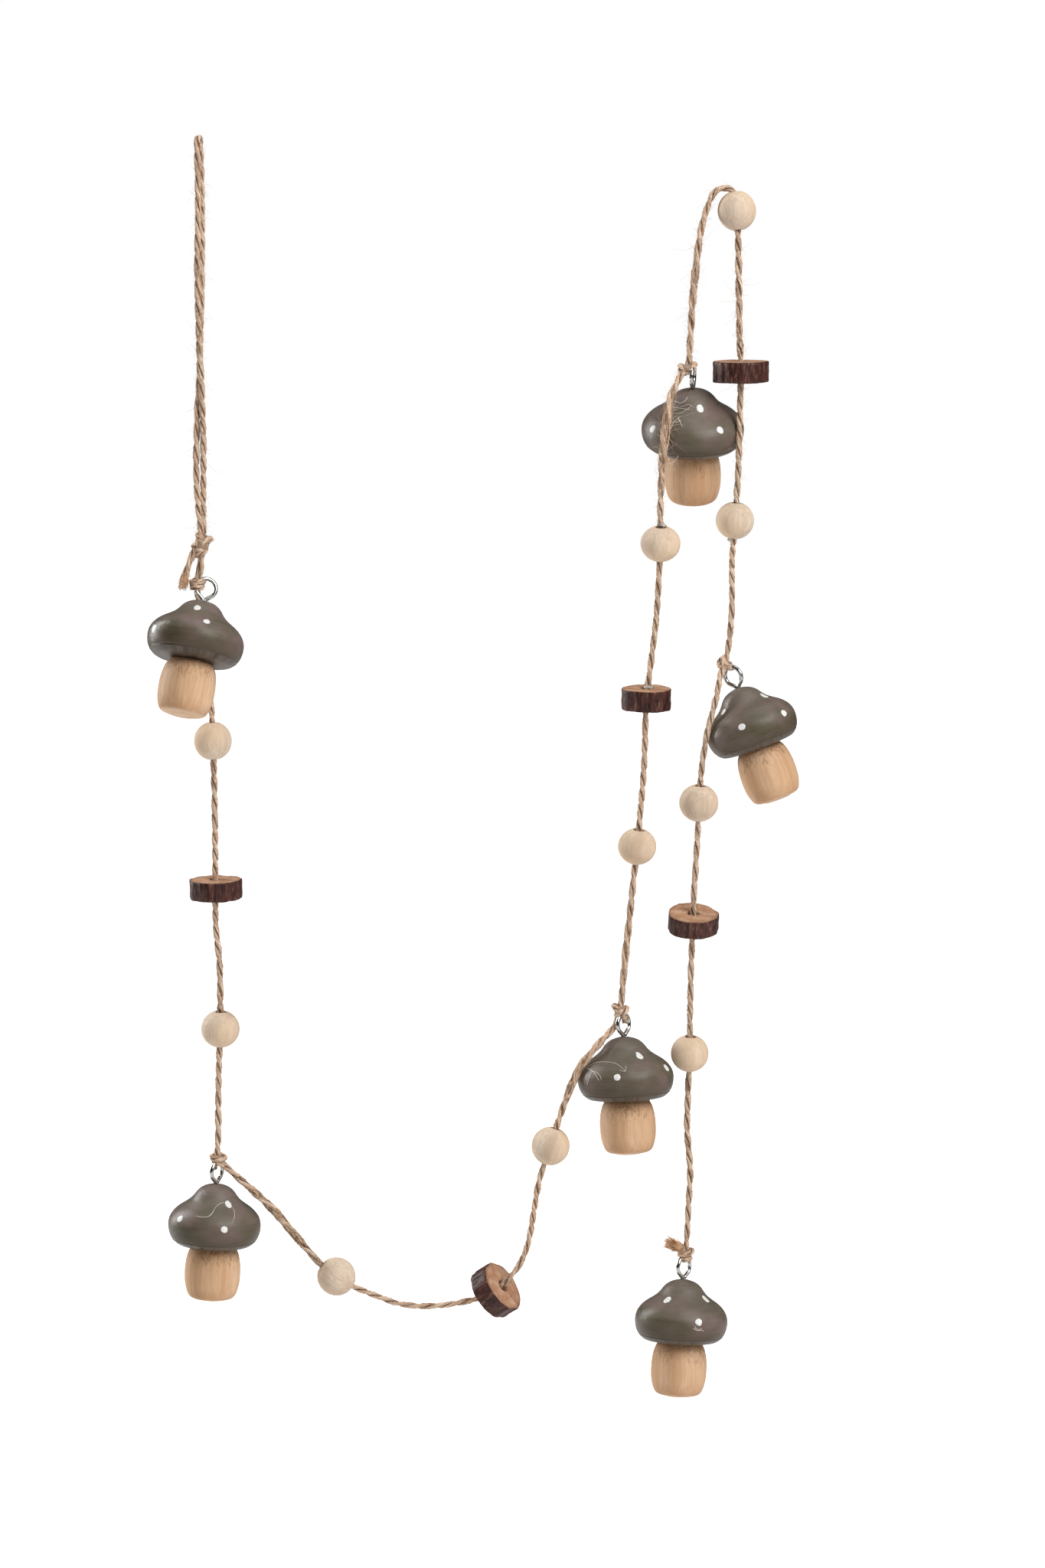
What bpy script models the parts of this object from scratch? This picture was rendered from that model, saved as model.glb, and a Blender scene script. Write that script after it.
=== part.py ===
"""Wooden mushroom garland, hung in an S from two points.

One length of two-ply jute twine carries six turned wooden mushrooms, each on a steel screw eye that is
tied into a knot, and between two mushrooms a bead, a slice of branch and a bead.

Lengths are in millimetres until they reach Blender, which takes metres. The origin is inside the top
bend of the hanging loop, where a hook bears. X runs to the right, Y away from the viewer, Z up.
"""

import math
from collections import namedtuple

import bmesh
import bpy
from mathutils import Euler, Matrix, Vector

MM = 0.001
CLEARANCE = 0.3

TWINE_WIDTH = 1.84
TWINE_PITCH = 20.0
STEPS_PER_TURN = 6
BEND_STEP = math.radians(34)
CURVE_STEPS = 24
LOOP_SPREAD = 2.3
LOOP_BEND = (36, 72, 108, 144)
FRAY_LENGTH = 7.0
FRAY_SWELL = 0.75
TUFT_SWELLS = (0.9, 0.8, 1.0, 1.3)
KNOT_CORE_EXTRA = 0.35
KNOT_CORE_TILT = (0.2, 0.3)

WIRE = 1.15
EYE_RADIUS = 3.25
EYE_CENTRE = 4.1
EYE_START = 212
EYE_STEP = 24.6
EYE_POINTS = 11
SHANK_DEPTH = 5.0
SHANK_MOUTH = 0.05

STEM_TOP = 20.7
STEM_LENGTH = 38.4
TENON_RADIUS = 4.5
TENON_LENGTH = 6.0
CAP_SEGMENTS = 16
STEM_SEGMENTS = 16

BORE_RADIUS = 1.6
BEAD_MOUTH = 2.0
BEAD_CHAMFER = 0.7
BEAD_ROWS = 7
BEAD_SEGMENTS = 12
SLICE_BORE_RADIUS = 1.9
SLICE_BORE_POINTS = 8
SLICE_POINTS = 22
SLICE_EDGE = 0.35
BARK_OVAL = 0.025
BARK_LOBES = 0.02
BARK_RIDGES = 0.012
BARK_RIDGE_COUNT = 9

Place = namedtuple("Place", "x depth z")
Mushroom = namedtuple("Mushroom", "pole lean pitch eye_turn girth")
Bead = namedtuple("Bead", "place width height nod roll")
Slice = namedtuple("Slice", "place width thickness nod roll wobble")
Knot = namedtuple("Knot", "place width height turn")
Wrap = namedtuple("Wrap", "side share tilt nod turn")
LoopRow = namedtuple("LoopRow", "z middle turn")

# Leans and turns are in degrees. A positive lean swings the foot to the left, a positive pitch takes it
# away from the viewer, and a positive eye turn brings the left of the ring forward.
MUSHROOMS = [
    Mushroom(Place(0.8, -1.3, -148.5), 10.2, -14, 10, 1.015),
    Mushroom(Place(3.9, 0.0, -340.2), 2.8, 1, 62, 0.975),
    Mushroom(Place(137.8, 0.0, -291.5), -2.7, -2, 54, 1.01),
    Mushroom(Place(159.9, 1.5, -79.8), -0.7, 17, 80, 1.07),
    Mushroom(Place(174.5, -2.0, -177.0), -20.3, -1, -40, 0.965),
    Mushroom(Place(157.5, 0.0, -372.0), 2.7, -3, 52, 0.98),
]

# A positive nod shows the viewer the upper side, a positive roll lifts the left side.
BEADS = [
    Bead(Place(2.9, 10.0, -195.0), 12.4, 12.0, 0, 0),
    Bead(Place(5.3, 3.3, -289.4), 12.7, 11.7, 5, 0),
    Bead(Place(43.4, -2.2, -370.7), 12.6, 12.1, 0, 0),
    Bead(Place(113.8, -3.4, -327.2), 12.5, 12.0, 0, 0),
    Bead(Place(142.0, -3.0, -228.6), 12.5, 11.4, 3, 0),
    Bead(Place(149.2, -8.3, -129.8), 13.0, 11.2, 5, 0),
    Bead(Place(173.8, -2.0, -22.6), 12.4, 12.2, 0, -2),
    Bead(Place(173.5, -3.2, -122.4), 12.4, 11.5, 3, 0),
    Bead(Place(162.0, -5.0, -214.2), 12.8, 11.6, 3, 0),
    Bead(Place(159.4, -1.7, -296.8), 12.4, 11.6, 4, 0),
]
SLICES = [
    Slice(Place(3.7, 6.6, -243.5), 17.2, 6.3, 8, 0, 0.0),
    Slice(Place(95.8, -2.5, -375.2), 17.4, 6.4, 6, 0, 1.3),
    Slice(Place(144.9, -5.6, -180.1), 15.9, 6.7, 4, -4.4, 2.1),
    Slice(Place(175.2, -3.5, -74.3), 18.2, 6.7, 8, 0, 3.3),
    Slice(Place(160.2, -3.3, -253.1), 17.0, 5.8, 10, 0, 4.2),
]
KNOTS = [
    Knot(Place(0.3, 0.0, -131.1), 6.7, 7.2, 20),
    Knot(Place(-1.4, 0.0, -143.0), 5.2, 4.6, -15),
    Knot(Place(4.6, 0.0, -332.5), 6.1, 5.5, 40),
    Knot(Place(136.6, 0.0, -283.3), 5.4, 6.3, 65),
    Knot(Place(158.1, 0.0, -73.4), 6.5, 4.8, -26),
    Knot(Place(170.5, -2.0, -168.8), 4.6, 5.3, 100),
    Knot(Place(158.3, 0.0, -363.9), 5.3, 5.3, 20),
]

# The wraps of every knot: a share of its half width or half height, and how the wrap is turned.
KNOT_WRAPS = [
    Wrap("width", 1.0, 24, 0, 0),
    Wrap("width", 0.93, -38, 18, 63),
    Wrap("height", 1.0, 74, 12, 29),
]

# The two legs of the loop wind slowly round each other, from the hook down to the loop knot.
LOOP_ROWS = [
    LoopRow(0.0, 0.0, 70),
    LoopRow(-11.8, 0.2, 64),
    LoopRow(-26.5, 0.3, 58),
    LoopRow(-40.8, 0.1, 54),
    LoopRow(-57.1, 0.0, 74),
    LoopRow(-69.4, 0.0, 92),
    LoopRow(-78.8, 0.1, 116),
    LoopRow(-87.7, -0.1, 140),
    LoopRow(-96.7, -0.1, 168),
    LoopRow(-106.6, -0.2, 188),
    LoopRow(-117.5, 0.0, 226),
    LoopRow(-127.4, 0.3, 250),
]
TAIL = [
    Place(-5.6, -0.8, -144.5),
    Place(-4.8, -0.7, -139.9),
    Place(-3.8, -0.6, -136.2),
    Place(-2.4, -0.4, -133.0),
]
LEAD = [
    Place(0.1, 0.0, -134.6),
    Place(-0.4, 0.0, -138.9),
]
STRAND_1 = [
    Place(-1.4, 2.6, -145.7),
    Place(-0.7, 7.4, -152.6),
    Place(0.5, 12.4, -164.4),
    Place(1.6, 12.2, -173.0),
    Place(2.3, 11.3, -183.0),
    BEADS[0].place,
    Place(3.5, 8.3, -217.1),
    SLICES[0].place,
    Place(3.8, 5.6, -255.2),
    Place(5.0, 4.7, -267.3),
    Place(5.3, 3.9, -278.8),
    BEADS[1].place,
    Place(4.8, 2.4, -301.9),
    Place(4.6, 1.3, -316.0),
    Place(4.6, 0.5, -325.0),
]
STRAND_2 = [
    Place(7.6, -1.0, -334.8),
    Place(13.2, -1.6, -339.7),
    Place(18.3, -1.9, -344.3),
    Place(23.9, -2.0, -349.8),
    Place(28.5, -2.0, -355.4),
    Place(33.3, -2.1, -361.1),
    Place(38.0, -2.1, -366.4),
    BEADS[2].place,
    Place(49.2, -2.1, -374.1),
    Place(57.2, -1.8, -377.5),
    Place(64.5, -1.4, -380.0),
    Place(72.6, -1.0, -380.8),
    Place(81.1, -0.6, -380.2),
    Place(89.9, -0.6, -378.3),
    SLICES[1].place,
    Place(100.0, -4.6, -371.0),
    Place(103.4, -5.1, -366.6),
    Place(106.3, -4.8, -359.7),
    Place(108.1, -4.3, -350.1),
    Place(110.2, -3.8, -338.2),
    BEADS[3].place,
    Place(116.7, -3.6, -317.8),
    Place(120.2, -4.6, -308.1),
    Place(123.1, -5.4, -301.5),
    Place(127.8, -4.8, -295.3),
    Place(131.3, -2.8, -291.6),
    Place(134.6, -0.4, -288.3),
]
STRAND_3 = [
    Place(137.2, -0.4, -277.3),
    Place(138.4, -1.2, -263.5),
    Place(140.0, -2.0, -248.1),
    BEADS[4].place,
    Place(143.0, -3.7, -217.6),
    Place(144.2, -4.6, -201.5),
    SLICES[2].place,
    Place(146.2, -6.2, -169.0),
    Place(147.8, -7.0, -155.5),
    Place(148.7, -7.8, -141.6),
    BEADS[5].place,
    Place(149.2, -9.1, -115.8),
    Place(149.8, -9.9, -103.5),
    Place(150.4, -10.3, -95.6),
    Place(151.2, -9.6, -89.1),
    Place(152.2, -7.4, -83.6),
    Place(154.1, -4.2, -78.9),
    Place(156.0, -1.6, -75.3),
]
STRAND_4 = [
    Place(158.8, -0.3, -66.5),
    Place(159.6, -0.8, -52.2),
    Place(160.8, -1.1, -39.9),
    Place(162.2, -1.3, -29.3),
    Place(164.2, -1.5, -21.7),
    Place(166.4, -1.6, -16.8),
    Place(168.7, -1.7, -15.4),
    Place(171.6, -1.8, -15.6),
    Place(173.4, -1.9, -17.7),
    BEADS[6].place,
    Place(174.3, -2.3, -34.2),
    Place(174.6, -2.8, -51.7),
    Place(174.8, -3.2, -63.1),
    SLICES[3].place,
    Place(175.0, -3.9, -84.8),
    Place(174.8, -4.0, -95.6),
    Place(174.4, -3.7, -108.5),
    BEADS[7].place,
    Place(172.6, -3.0, -135.8),
    Place(172.7, -2.7, -148.2),
    Place(172.0, -2.3, -160.2),
]
STRAND_5 = [
    Place(168.9, -4.0, -172.6),
    Place(167.9, -6.2, -178.0),
    Place(166.3, -7.4, -184.4),
    Place(164.7, -8.0, -190.3),
    Place(163.7, -7.1, -196.4),
    Place(162.9, -5.6, -202.9),
    BEADS[8].place,
    Place(161.6, -5.0, -226.0),
    Place(160.7, -5.0, -240.0),
    SLICES[4].place,
    Place(159.8, -1.9, -266.5),
    Place(159.5, -1.8, -281.6),
    BEADS[9].place,
    Place(158.9, -1.3, -310.0),
    Place(158.7, -0.9, -323.3),
    Place(159.7, -0.6, -335.0),
    Place(159.2, -0.3, -347.8),
    Place(158.7, -0.1, -358.0),
]
TUFT = [
    Place(157.9, -0.1, -363.3),
    Place(155.6, -0.3, -361.4),
    Place(154.1, -0.5, -360.0),
    Place(152.6, -0.6, -358.9),
]

# The two-ply section's corners, each as degrees and a share of the half width.
PLY_CORNERS = [
    (30, 1.0),
    (90, 0.47),
    (150, 1.0),
    (210, 1.0),
    (270, 0.47),
    (330, 1.0),
]

# The wire of a screw eye under its ring and at its free end, each corner as x and height.
EYE_SHANK = [
    (0, -SHANK_DEPTH),
    (0, -1.0),
    (0, 0.3),
    (-0.55, 1.2),
]
EYE_TIP = [
    (1.75, 1.55),
    (1.25, 1.2),
]
EYE_OFFSET = 0.1

# Corners of a turned outline, each as its radius and its height. Heights are below the cap's top.
CAP_OUTLINE = [
    (2.3, 0.35),
    (4.9, 1.2),
    (6.7, 2.9),
    (8.2, 5.0),
    (12.6, 8.0),
    (14.8, 10.4),
    (15.6, 13.5),
    (15.15, 16.5),
    (13.8, 19.0),
    (12.2, 20.35),
]
STEM_OUTLINE = [
    (6.9, 20.7),
    (8.3, 22.6),
    (9.05, 26.8),
    (9.15, 31.5),
    (8.4, 35.2),
    (6.7, 37.4),
    (4.8, 38.3),
]


def clear_scene():
    for old in list(bpy.data.objects):
        bpy.data.objects.remove(old, do_unlink=True)


def new_collection(name):
    collection = bpy.data.collections.new(name)
    bpy.context.scene.collection.children.link(collection)
    return collection


def material(name, colour, roughness, metallic=0.0):
    made = bpy.data.materials.new(name)
    made.use_nodes = True
    shader = made.node_tree.nodes["Principled BSDF"]
    shader.inputs["Base Color"].default_value = (*colour, 1.0)
    shader.inputs["Roughness"].default_value = roughness
    shader.inputs["Metallic"].default_value = metallic
    made.diffuse_color = (*colour, 1.0)
    return made


def add_object(name, data, collection, finish=None):
    made = bpy.data.objects.new(name, data)
    collection.objects.link(made)
    if finish:
        data.materials.append(finish)
    return made


def add_cutter(name, data, collection):
    made = add_object(name, data, collection)
    made.display_type = "WIRE"
    made.hide_render = True
    return made


def at(place):
    return Vector((place.x, place.depth, place.z)) * MM


def smooth_curve(corners, steps):
    """Points on a smooth curve through the corners, with this many steps between two of them."""
    points = []
    last = len(corners) - 1
    for i in range(last):
        before = corners[max(i - 1, 0)]
        start = corners[i]
        end = corners[i + 1]
        after = corners[min(i + 2, last)]
        knots = [0.0]
        for a, b in ((before, start), (start, end), (end, after)):
            knots.append(knots[-1] + max(math.sqrt((b - a).length), 1e-6))
        for step in range(steps):
            t = knots[1] + (knots[2] - knots[1]) * step / steps
            points.append(centripetal(before, start, end, after, knots, t))
    points.append(corners[last])
    return points


def centripetal(before, start, end, after, knots, t):
    """The centripetal Catmull-Rom curve of four corners at the parameter t."""

    def between(a, b, t_a, t_b):
        return a * ((t_b - t) / (t_b - t_a)) + b * ((t - t_a) / (t_b - t_a))

    a_1 = between(before, start, knots[0], knots[1])
    a_2 = between(start, end, knots[1], knots[2])
    a_3 = between(end, after, knots[2], knots[3])
    b_1 = between(a_1, a_2, knots[0], knots[2])
    b_2 = between(a_2, a_3, knots[1], knots[3])
    return between(b_1, b_2, knots[1], knots[2])


def loop_points():
    """The loop's centre line: up one leg, round the top bend and down the other leg."""
    half = LOOP_SPREAD / 2
    legs = []
    for side in (1, -1):
        leg = []
        for row in LOOP_ROWS:
            turn = math.radians(row.turn)
            offset = Vector((math.cos(turn), math.sin(turn), 0)) * half * side
            leg.append(Vector((row.middle, 0, row.z)) + offset)
        legs.append(leg)
    top = []
    turn = math.radians(LOOP_ROWS[0].turn)
    for degrees in LOOP_BEND:
        angle = math.radians(degrees)
        across = half * math.cos(angle)
        top.append(Vector((across * math.cos(turn), across * math.sin(turn), half * math.sin(angle))))
    return [point * MM for point in legs[0][::-1] + top + legs[1]]


def twine_route():
    """The corners of the whole twine, from its cut tail at the loop to the last knot."""
    places = [at(p) for p in TAIL]
    places += loop_points()
    stops = [
        LEAD,
        [KNOTS[1].place],
        STRAND_1,
        [KNOTS[2].place],
        STRAND_2,
        [KNOTS[3].place],
        STRAND_3,
        [KNOTS[4].place],
        STRAND_4,
        [KNOTS[5].place],
        STRAND_5,
        [KNOTS[6].place],
    ]
    for stop in stops:
        places += [at(p) for p in stop]
    return places


def thinned(points, step, bend):
    """(point, distance run) pairs, one each step along or whenever the line has turned by the bend."""
    kept = [(points[0], 0.0)]
    run = 0.0
    since = 0.0
    heading = points[1] - points[0]
    for i in range(1, len(points) - 1):
        travelled = (points[i] - points[i - 1]).length
        run += travelled
        since += travelled
        ahead = points[i + 1] - points[i]
        if since >= step or ahead.angle(heading) > bend:
            kept.append((points[i], run))
            since = 0.0
            heading = ahead
    run += (points[-1] - points[-2]).length
    kept.append((points[-1], run))
    return kept


def two_ply_section(collection):
    """The twine's cross-section: two round plies side by side, with a waist between them."""
    half = TWINE_WIDTH / 2
    curve = bpy.data.curves.new("two_ply_section", "CURVE")
    curve.dimensions = "2D"
    spline = curve.splines.new("POLY")
    spline.points.add(len(PLY_CORNERS) - 1)
    for point, (degrees, reach) in zip(spline.points, PLY_CORNERS):
        angle = math.radians(degrees)
        x = half * reach * math.cos(angle) * MM
        y = half * reach * math.sin(angle) * MM
        point.co = (x, y, 0, 1)
    spline.use_cyclic_u = True
    return add_cutter("two_ply_section", curve, collection)


def mesh_from_curve(source, name):
    """A closed mesh object's data from a curve object, which is removed."""
    graph = bpy.context.evaluated_depsgraph_get()
    mesh = bpy.data.meshes.new_from_object(source.evaluated_get(graph))
    mesh.name = name
    mesh.transform(source.matrix_world)
    shape = bmesh.new()
    shape.from_mesh(mesh)
    bmesh.ops.remove_doubles(shape, verts=shape.verts, dist=1e-7)
    bmesh.ops.recalc_face_normals(shape, faces=shape.faces)
    shape.to_mesh(mesh)
    shape.free()
    bpy.data.objects.remove(source, do_unlink=True)
    return mesh


def twine_mesh(cutters):
    """The left-hand twisted twine along its whole route, without its knots."""
    line = smooth_curve(twine_route(), CURVE_STEPS)
    step = TWINE_PITCH / STEPS_PER_TURN * MM
    kept = thinned(line, step, BEND_STEP)
    section = two_ply_section(cutters)
    curve = bpy.data.curves.new("twine_line", "CURVE")
    curve.dimensions = "3D"
    curve.bevel_mode = "OBJECT"
    curve.bevel_object = section
    curve.use_fill_caps = True
    spline = curve.splines.new("POLY")
    spline.points.add(len(kept) - 1)
    for point, (place, run) in zip(spline.points, kept):
        point.co = (*place, 1)
        point.tilt = -2 * math.pi * run / (TWINE_PITCH * MM)
        point.radius = tail_swell(run / MM)
    source = add_object("twine_line", curve, cutters)
    bpy.context.view_layer.update()
    return mesh_from_curve(source, "twine")


def tail_swell(run):
    """How much wider the twine is near its cut tail, where it has come untwisted."""
    return 1 + FRAY_SWELL * max(0.0, 1 - run / FRAY_LENGTH)


def add_tuft(knots, guides):
    """The short frayed end that sticks out of the last knot."""
    curve = bpy.data.curves.new("tuft_line", "CURVE")
    curve.dimensions = "3D"
    curve.bevel_depth = TWINE_WIDTH / 2 * MM
    curve.bevel_resolution = 1
    curve.use_fill_caps = True
    spline = curve.splines.new("POLY")
    spline.points.add(len(TUFT) - 1)
    for point, place, swell in zip(spline.points, TUFT, TUFT_SWELLS):
        point.co = (*at(place), 1)
        point.radius = swell
    source = add_object("tuft_line", curve, guides)
    bpy.context.view_layer.update()
    add_cutter("tuft", mesh_from_curve(source, "tuft"), knots)


def torus(name, place, radius, thickness, rotation, collection):
    bpy.ops.mesh.primitive_torus_add(
        major_segments=10,
        minor_segments=5,
        major_radius=radius * MM,
        minor_radius=thickness / 2 * MM,
        location=place,
        rotation=rotation,
    )
    made = bpy.context.object
    made.name = name
    for owner in list(made.users_collection):
        owner.objects.unlink(made)
    collection.objects.link(made)
    made.display_type = "WIRE"
    made.hide_render = True
    return made


def add_knot(number, knot, collection):
    """An overhand knot pulled tight: a core and three wraps that cross over each other."""
    place = at(knot.place)
    reach = {
        "width": (knot.width - TWINE_WIDTH) / 2,
        "height": (knot.height - TWINE_WIDTH) / 2,
    }
    for wrap_number, wrap in enumerate(KNOT_WRAPS, 1):
        name = f"knot_{number}_wrap_{wrap_number}"
        radius = reach[wrap.side] * wrap.share
        degrees = (wrap.tilt, wrap.nod, knot.turn + wrap.turn)
        rotation = Euler([math.radians(angle) for angle in degrees])
        torus(name, place, radius, TWINE_WIDTH, rotation, collection)
    shape = bmesh.new()
    core_radius = (reach["width"] + reach["height"]) / 2 + KNOT_CORE_EXTRA
    bmesh.ops.create_uvsphere(shape, u_segments=8, v_segments=5, radius=core_radius * MM)
    mesh = bpy.data.meshes.new(f"knot_{number}_core")
    shape.to_mesh(mesh)
    shape.free()
    core = add_cutter(f"knot_{number}_core", mesh, collection)
    core.location = place
    core.rotation_euler = (*KNOT_CORE_TILT, math.radians(knot.turn))


def mushroom_matrix(mushroom):
    rotation = Euler((math.radians(mushroom.pitch), 0, 0)).to_matrix().to_4x4()
    lean = Matrix.Rotation(math.radians(mushroom.lean), 4, "Y")
    return Matrix.Translation(at(mushroom.pole)) @ lean @ rotation


def eye_curve(name, thickness):
    """The wire of a screw eye: a shank, and a ring that ends beside the neck."""
    ring = []
    for i in range(EYE_POINTS):
        angle = math.radians(EYE_START - i * EYE_STEP)
        x = EYE_OFFSET + EYE_RADIUS * math.cos(angle)
        ring.append((x, EYE_CENTRE + EYE_RADIUS * math.sin(angle)))
    curve = bpy.data.curves.new(name, "CURVE")
    curve.dimensions = "3D"
    curve.bevel_depth = thickness / 2 * MM
    curve.bevel_resolution = 1
    curve.use_fill_caps = True
    spline = curve.splines.new("POLY")
    points = EYE_SHANK + ring + EYE_TIP
    spline.points.add(len(points) - 1)
    for point, (x, z) in zip(spline.points, points):
        point.co = (x * MM, 0, z * MM, 1)
    return curve


def eye_matrix(mushroom):
    return mushroom_matrix(mushroom) @ Matrix.Rotation(math.radians(mushroom.eye_turn), 4, "Z")


def turned(name, outline, segments, collection, finish):
    """A turned piece from an outline of (radius, height) corners, run down its outer side."""
    shape = bmesh.new()
    corners = [shape.verts.new((radius * MM, 0, height * MM)) for radius, height in outline]
    for a, b in zip(corners, corners[1:]):
        shape.edges.new((a, b))
    if outline[0][0] > 0:
        shape.edges.new((corners[-1], corners[0]))
    mesh = bpy.data.meshes.new(name)
    shape.to_mesh(mesh)
    shape.free()
    made = add_object(name, mesh, collection, finish)
    screw = made.modifiers.new("Turn", "SCREW")
    screw.axis = "Z"
    screw.steps = segments
    screw.render_steps = segments
    screw.use_merge_vertices = True
    screw.merge_threshold = 0.00001
    screw.use_smooth_shade = True
    return made


def cap(number, mushroom, collection, finish):
    """The cap: a bell crown, a fat rounded brim and a socket, drilled at the top for its screw eye."""
    hole = WIRE / 2 + CLEARANCE
    socket = TENON_RADIUS + CLEARANCE
    foot = STEM_TOP - CLEARANCE
    drilled = SHANK_DEPTH + CLEARANCE
    outline = [(0, -drilled), (hole, -drilled), (hole, -SHANK_MOUTH)]
    outline += [(radius * mushroom.girth, -height) for radius, height in CAP_OUTLINE]
    outline += [(socket, -foot), (socket, -foot + TENON_LENGTH), (0, -foot + TENON_LENGTH)]
    made = turned(f"cap_{number}", outline, CAP_SEGMENTS, collection, finish)
    made.matrix_world = mushroom_matrix(mushroom)


def stem(number, mushroom, collection, finish):
    """The stem: a barrel with a rounded foot and a tenon that fits the cap's socket."""
    top = -STEM_TOP + TENON_LENGTH - CLEARANCE
    outline = [(0, top), (TENON_RADIUS, top), (TENON_RADIUS, -STEM_TOP)]
    outline += [(radius, -height) for radius, height in STEM_OUTLINE]
    outline += [(0, -STEM_LENGTH)]
    made = turned(f"stem_{number}", outline, STEM_SEGMENTS, collection, finish)
    made.matrix_world = mushroom_matrix(mushroom)


def heading_at(line, place):
    """The direction in which the smooth line runs where it is nearest to the place."""
    nearest = min(range(1, len(line) - 1), key=lambda i: (line[i] - place).length)
    return (line[nearest + 1] - line[nearest - 1]).normalized()


def threaded_matrix(piece, line):
    """The place of a drilled piece whose hole follows the twine, with its own nod and roll."""
    place = at(piece.place)
    heading = heading_at(line, place)
    if heading.z > 0:
        heading = -heading
    follow = Vector((0, 0, -1)).rotation_difference(heading).to_matrix().to_4x4()
    nod = Matrix.Rotation(math.radians(piece.nod), 4, "X")
    roll = Matrix.Rotation(math.radians(piece.roll), 4, "Y")
    return Matrix.Translation(place) @ roll @ nod @ follow


def bead(number, piece, line, collection, finish):
    """A round bead, a little flat at its hole, whose mouth is chamfered."""
    radius = piece.width / 2
    half = piece.height / 2
    sweep = math.acos(BEAD_MOUTH / radius)
    outline = []
    for i in range(BEAD_ROWS):
        angle = sweep * (1 - 2 * i / (BEAD_ROWS - 1))
        outline.append((radius * math.cos(angle), half * math.sin(angle) / math.sin(sweep)))
    outline += [(BORE_RADIUS, -half + BEAD_CHAMFER), (BORE_RADIUS, half - BEAD_CHAMFER)]
    made = turned(f"bead_{number:02d}", outline, BEAD_SEGMENTS, collection, finish)
    made.matrix_world = threaded_matrix(piece, line)


def bark_radius(piece, angle):
    """The slice's outline: not quite round, with the bark's ridges."""
    oval = BARK_OVAL * math.sin(2 * angle + piece.wobble)
    lobes = BARK_LOBES * math.sin(3 * angle + 2 * piece.wobble)
    ridges = BARK_RIDGES * math.sin(BARK_RIDGE_COUNT * angle + 3 * piece.wobble)
    return piece.width / 2 * (1 + oval + lobes + ridges)


def branch_slice(number, piece, line, collection, finish):
    """A slice sawn from a branch, drilled through its middle."""
    name = f"slice_{number}"
    curve = bpy.data.curves.new(name, "CURVE")
    curve.dimensions = "2D"
    curve.fill_mode = "BOTH"
    curve.extrude = (piece.thickness / 2 - SLICE_EDGE) * MM
    curve.bevel_depth = SLICE_EDGE * MM
    curve.bevel_resolution = 0
    bark = []
    for i in range(SLICE_POINTS):
        angle = 2 * math.pi * i / SLICE_POINTS
        bark.append((bark_radius(piece, angle) - SLICE_EDGE, angle))
    bore = []
    for i in range(SLICE_BORE_POINTS):
        bore.append((SLICE_BORE_RADIUS + SLICE_EDGE, 2 * math.pi * i / SLICE_BORE_POINTS))
    for outline in (bark, bore):
        spline = curve.splines.new("POLY")
        spline.points.add(len(outline) - 1)
        for point, (radius, angle) in zip(spline.points, outline):
            point.co = (radius * math.cos(angle) * MM, radius * math.sin(angle) * MM, 0, 1)
        spline.use_cyclic_u = True
    made = add_object(name, curve, collection, finish)
    made.matrix_world = threaded_matrix(piece, line)


def unite(made, others, cutters):
    """Joins the knots to the twine, then cuts it clear of the screw eyes."""
    union = made.modifiers.new("Knots", "BOOLEAN")
    union.operation = "UNION"
    union.solver = "EXACT"
    union.operand_type = "COLLECTION"
    union.collection = others
    clear = made.modifiers.new("Clear of the eyes", "BOOLEAN")
    clear.operation = "DIFFERENCE"
    clear.solver = "EXACT"
    clear.operand_type = "COLLECTION"
    clear.collection = cutters


def main():
    clear_scene()
    garland = new_collection("mushroom_garland")
    guides = new_collection("guides")
    knots = new_collection("knots")
    eye_cutters = new_collection("eye_cutters")

    paint = material("cap_paint", (0.15, 0.13, 0.105), 0.42)
    stem_wood = material("stem_wood", (0.60, 0.37, 0.21), 0.55)
    bead_wood = material("bead_wood", (0.76, 0.62, 0.45), 0.6)
    slice_wood = material("slice_wood", (0.33, 0.19, 0.12), 0.8)
    jute = material("jute", (0.46, 0.29, 0.17), 0.95)
    steel = material("steel", (0.66, 0.66, 0.65), 0.22, 1.0)

    line = smooth_curve(twine_route(), CURVE_STEPS)
    for number, mushroom in enumerate(MUSHROOMS, 1):
        cap(number, mushroom, garland, paint)
        stem(number, mushroom, garland, stem_wood)
        eye = add_object(f"eye_{number}", eye_curve(f"eye_{number}", WIRE), garland, steel)
        eye.matrix_world = eye_matrix(mushroom)
        wide = eye_curve(f"eye_{number}_room", WIRE + 2 * CLEARANCE)
        source = add_cutter(f"eye_{number}_room_line", wide, guides)
        source.matrix_world = eye_matrix(mushroom)
        bpy.context.view_layer.update()
        room = mesh_from_curve(source, f"eye_{number}_room")
        add_cutter(f"eye_{number}_room", room, eye_cutters)
    for number, piece in enumerate(BEADS, 1):
        bead(number, piece, line, garland, bead_wood)
    for number, piece in enumerate(SLICES, 1):
        branch_slice(number, piece, line, garland, slice_wood)
    for number, knot in enumerate(KNOTS, 1):
        add_knot(number, knot, knots)
    add_tuft(knots, guides)
    twine = add_object("twine", twine_mesh(guides), garland, jute)
    unite(twine, knots, eye_cutters)


main()
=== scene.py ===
"""Looks of the wooden mushroom garland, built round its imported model.

Tables are in millimetres, as in the part's source, and the scene is in metres. The origin is inside the
top bend of the hanging loop. X runs to the right, Y away from the viewer, Z up.
"""

import math
import random
from collections import namedtuple

import bpy
from mathutils import Euler, Matrix, Vector, noise


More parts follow.
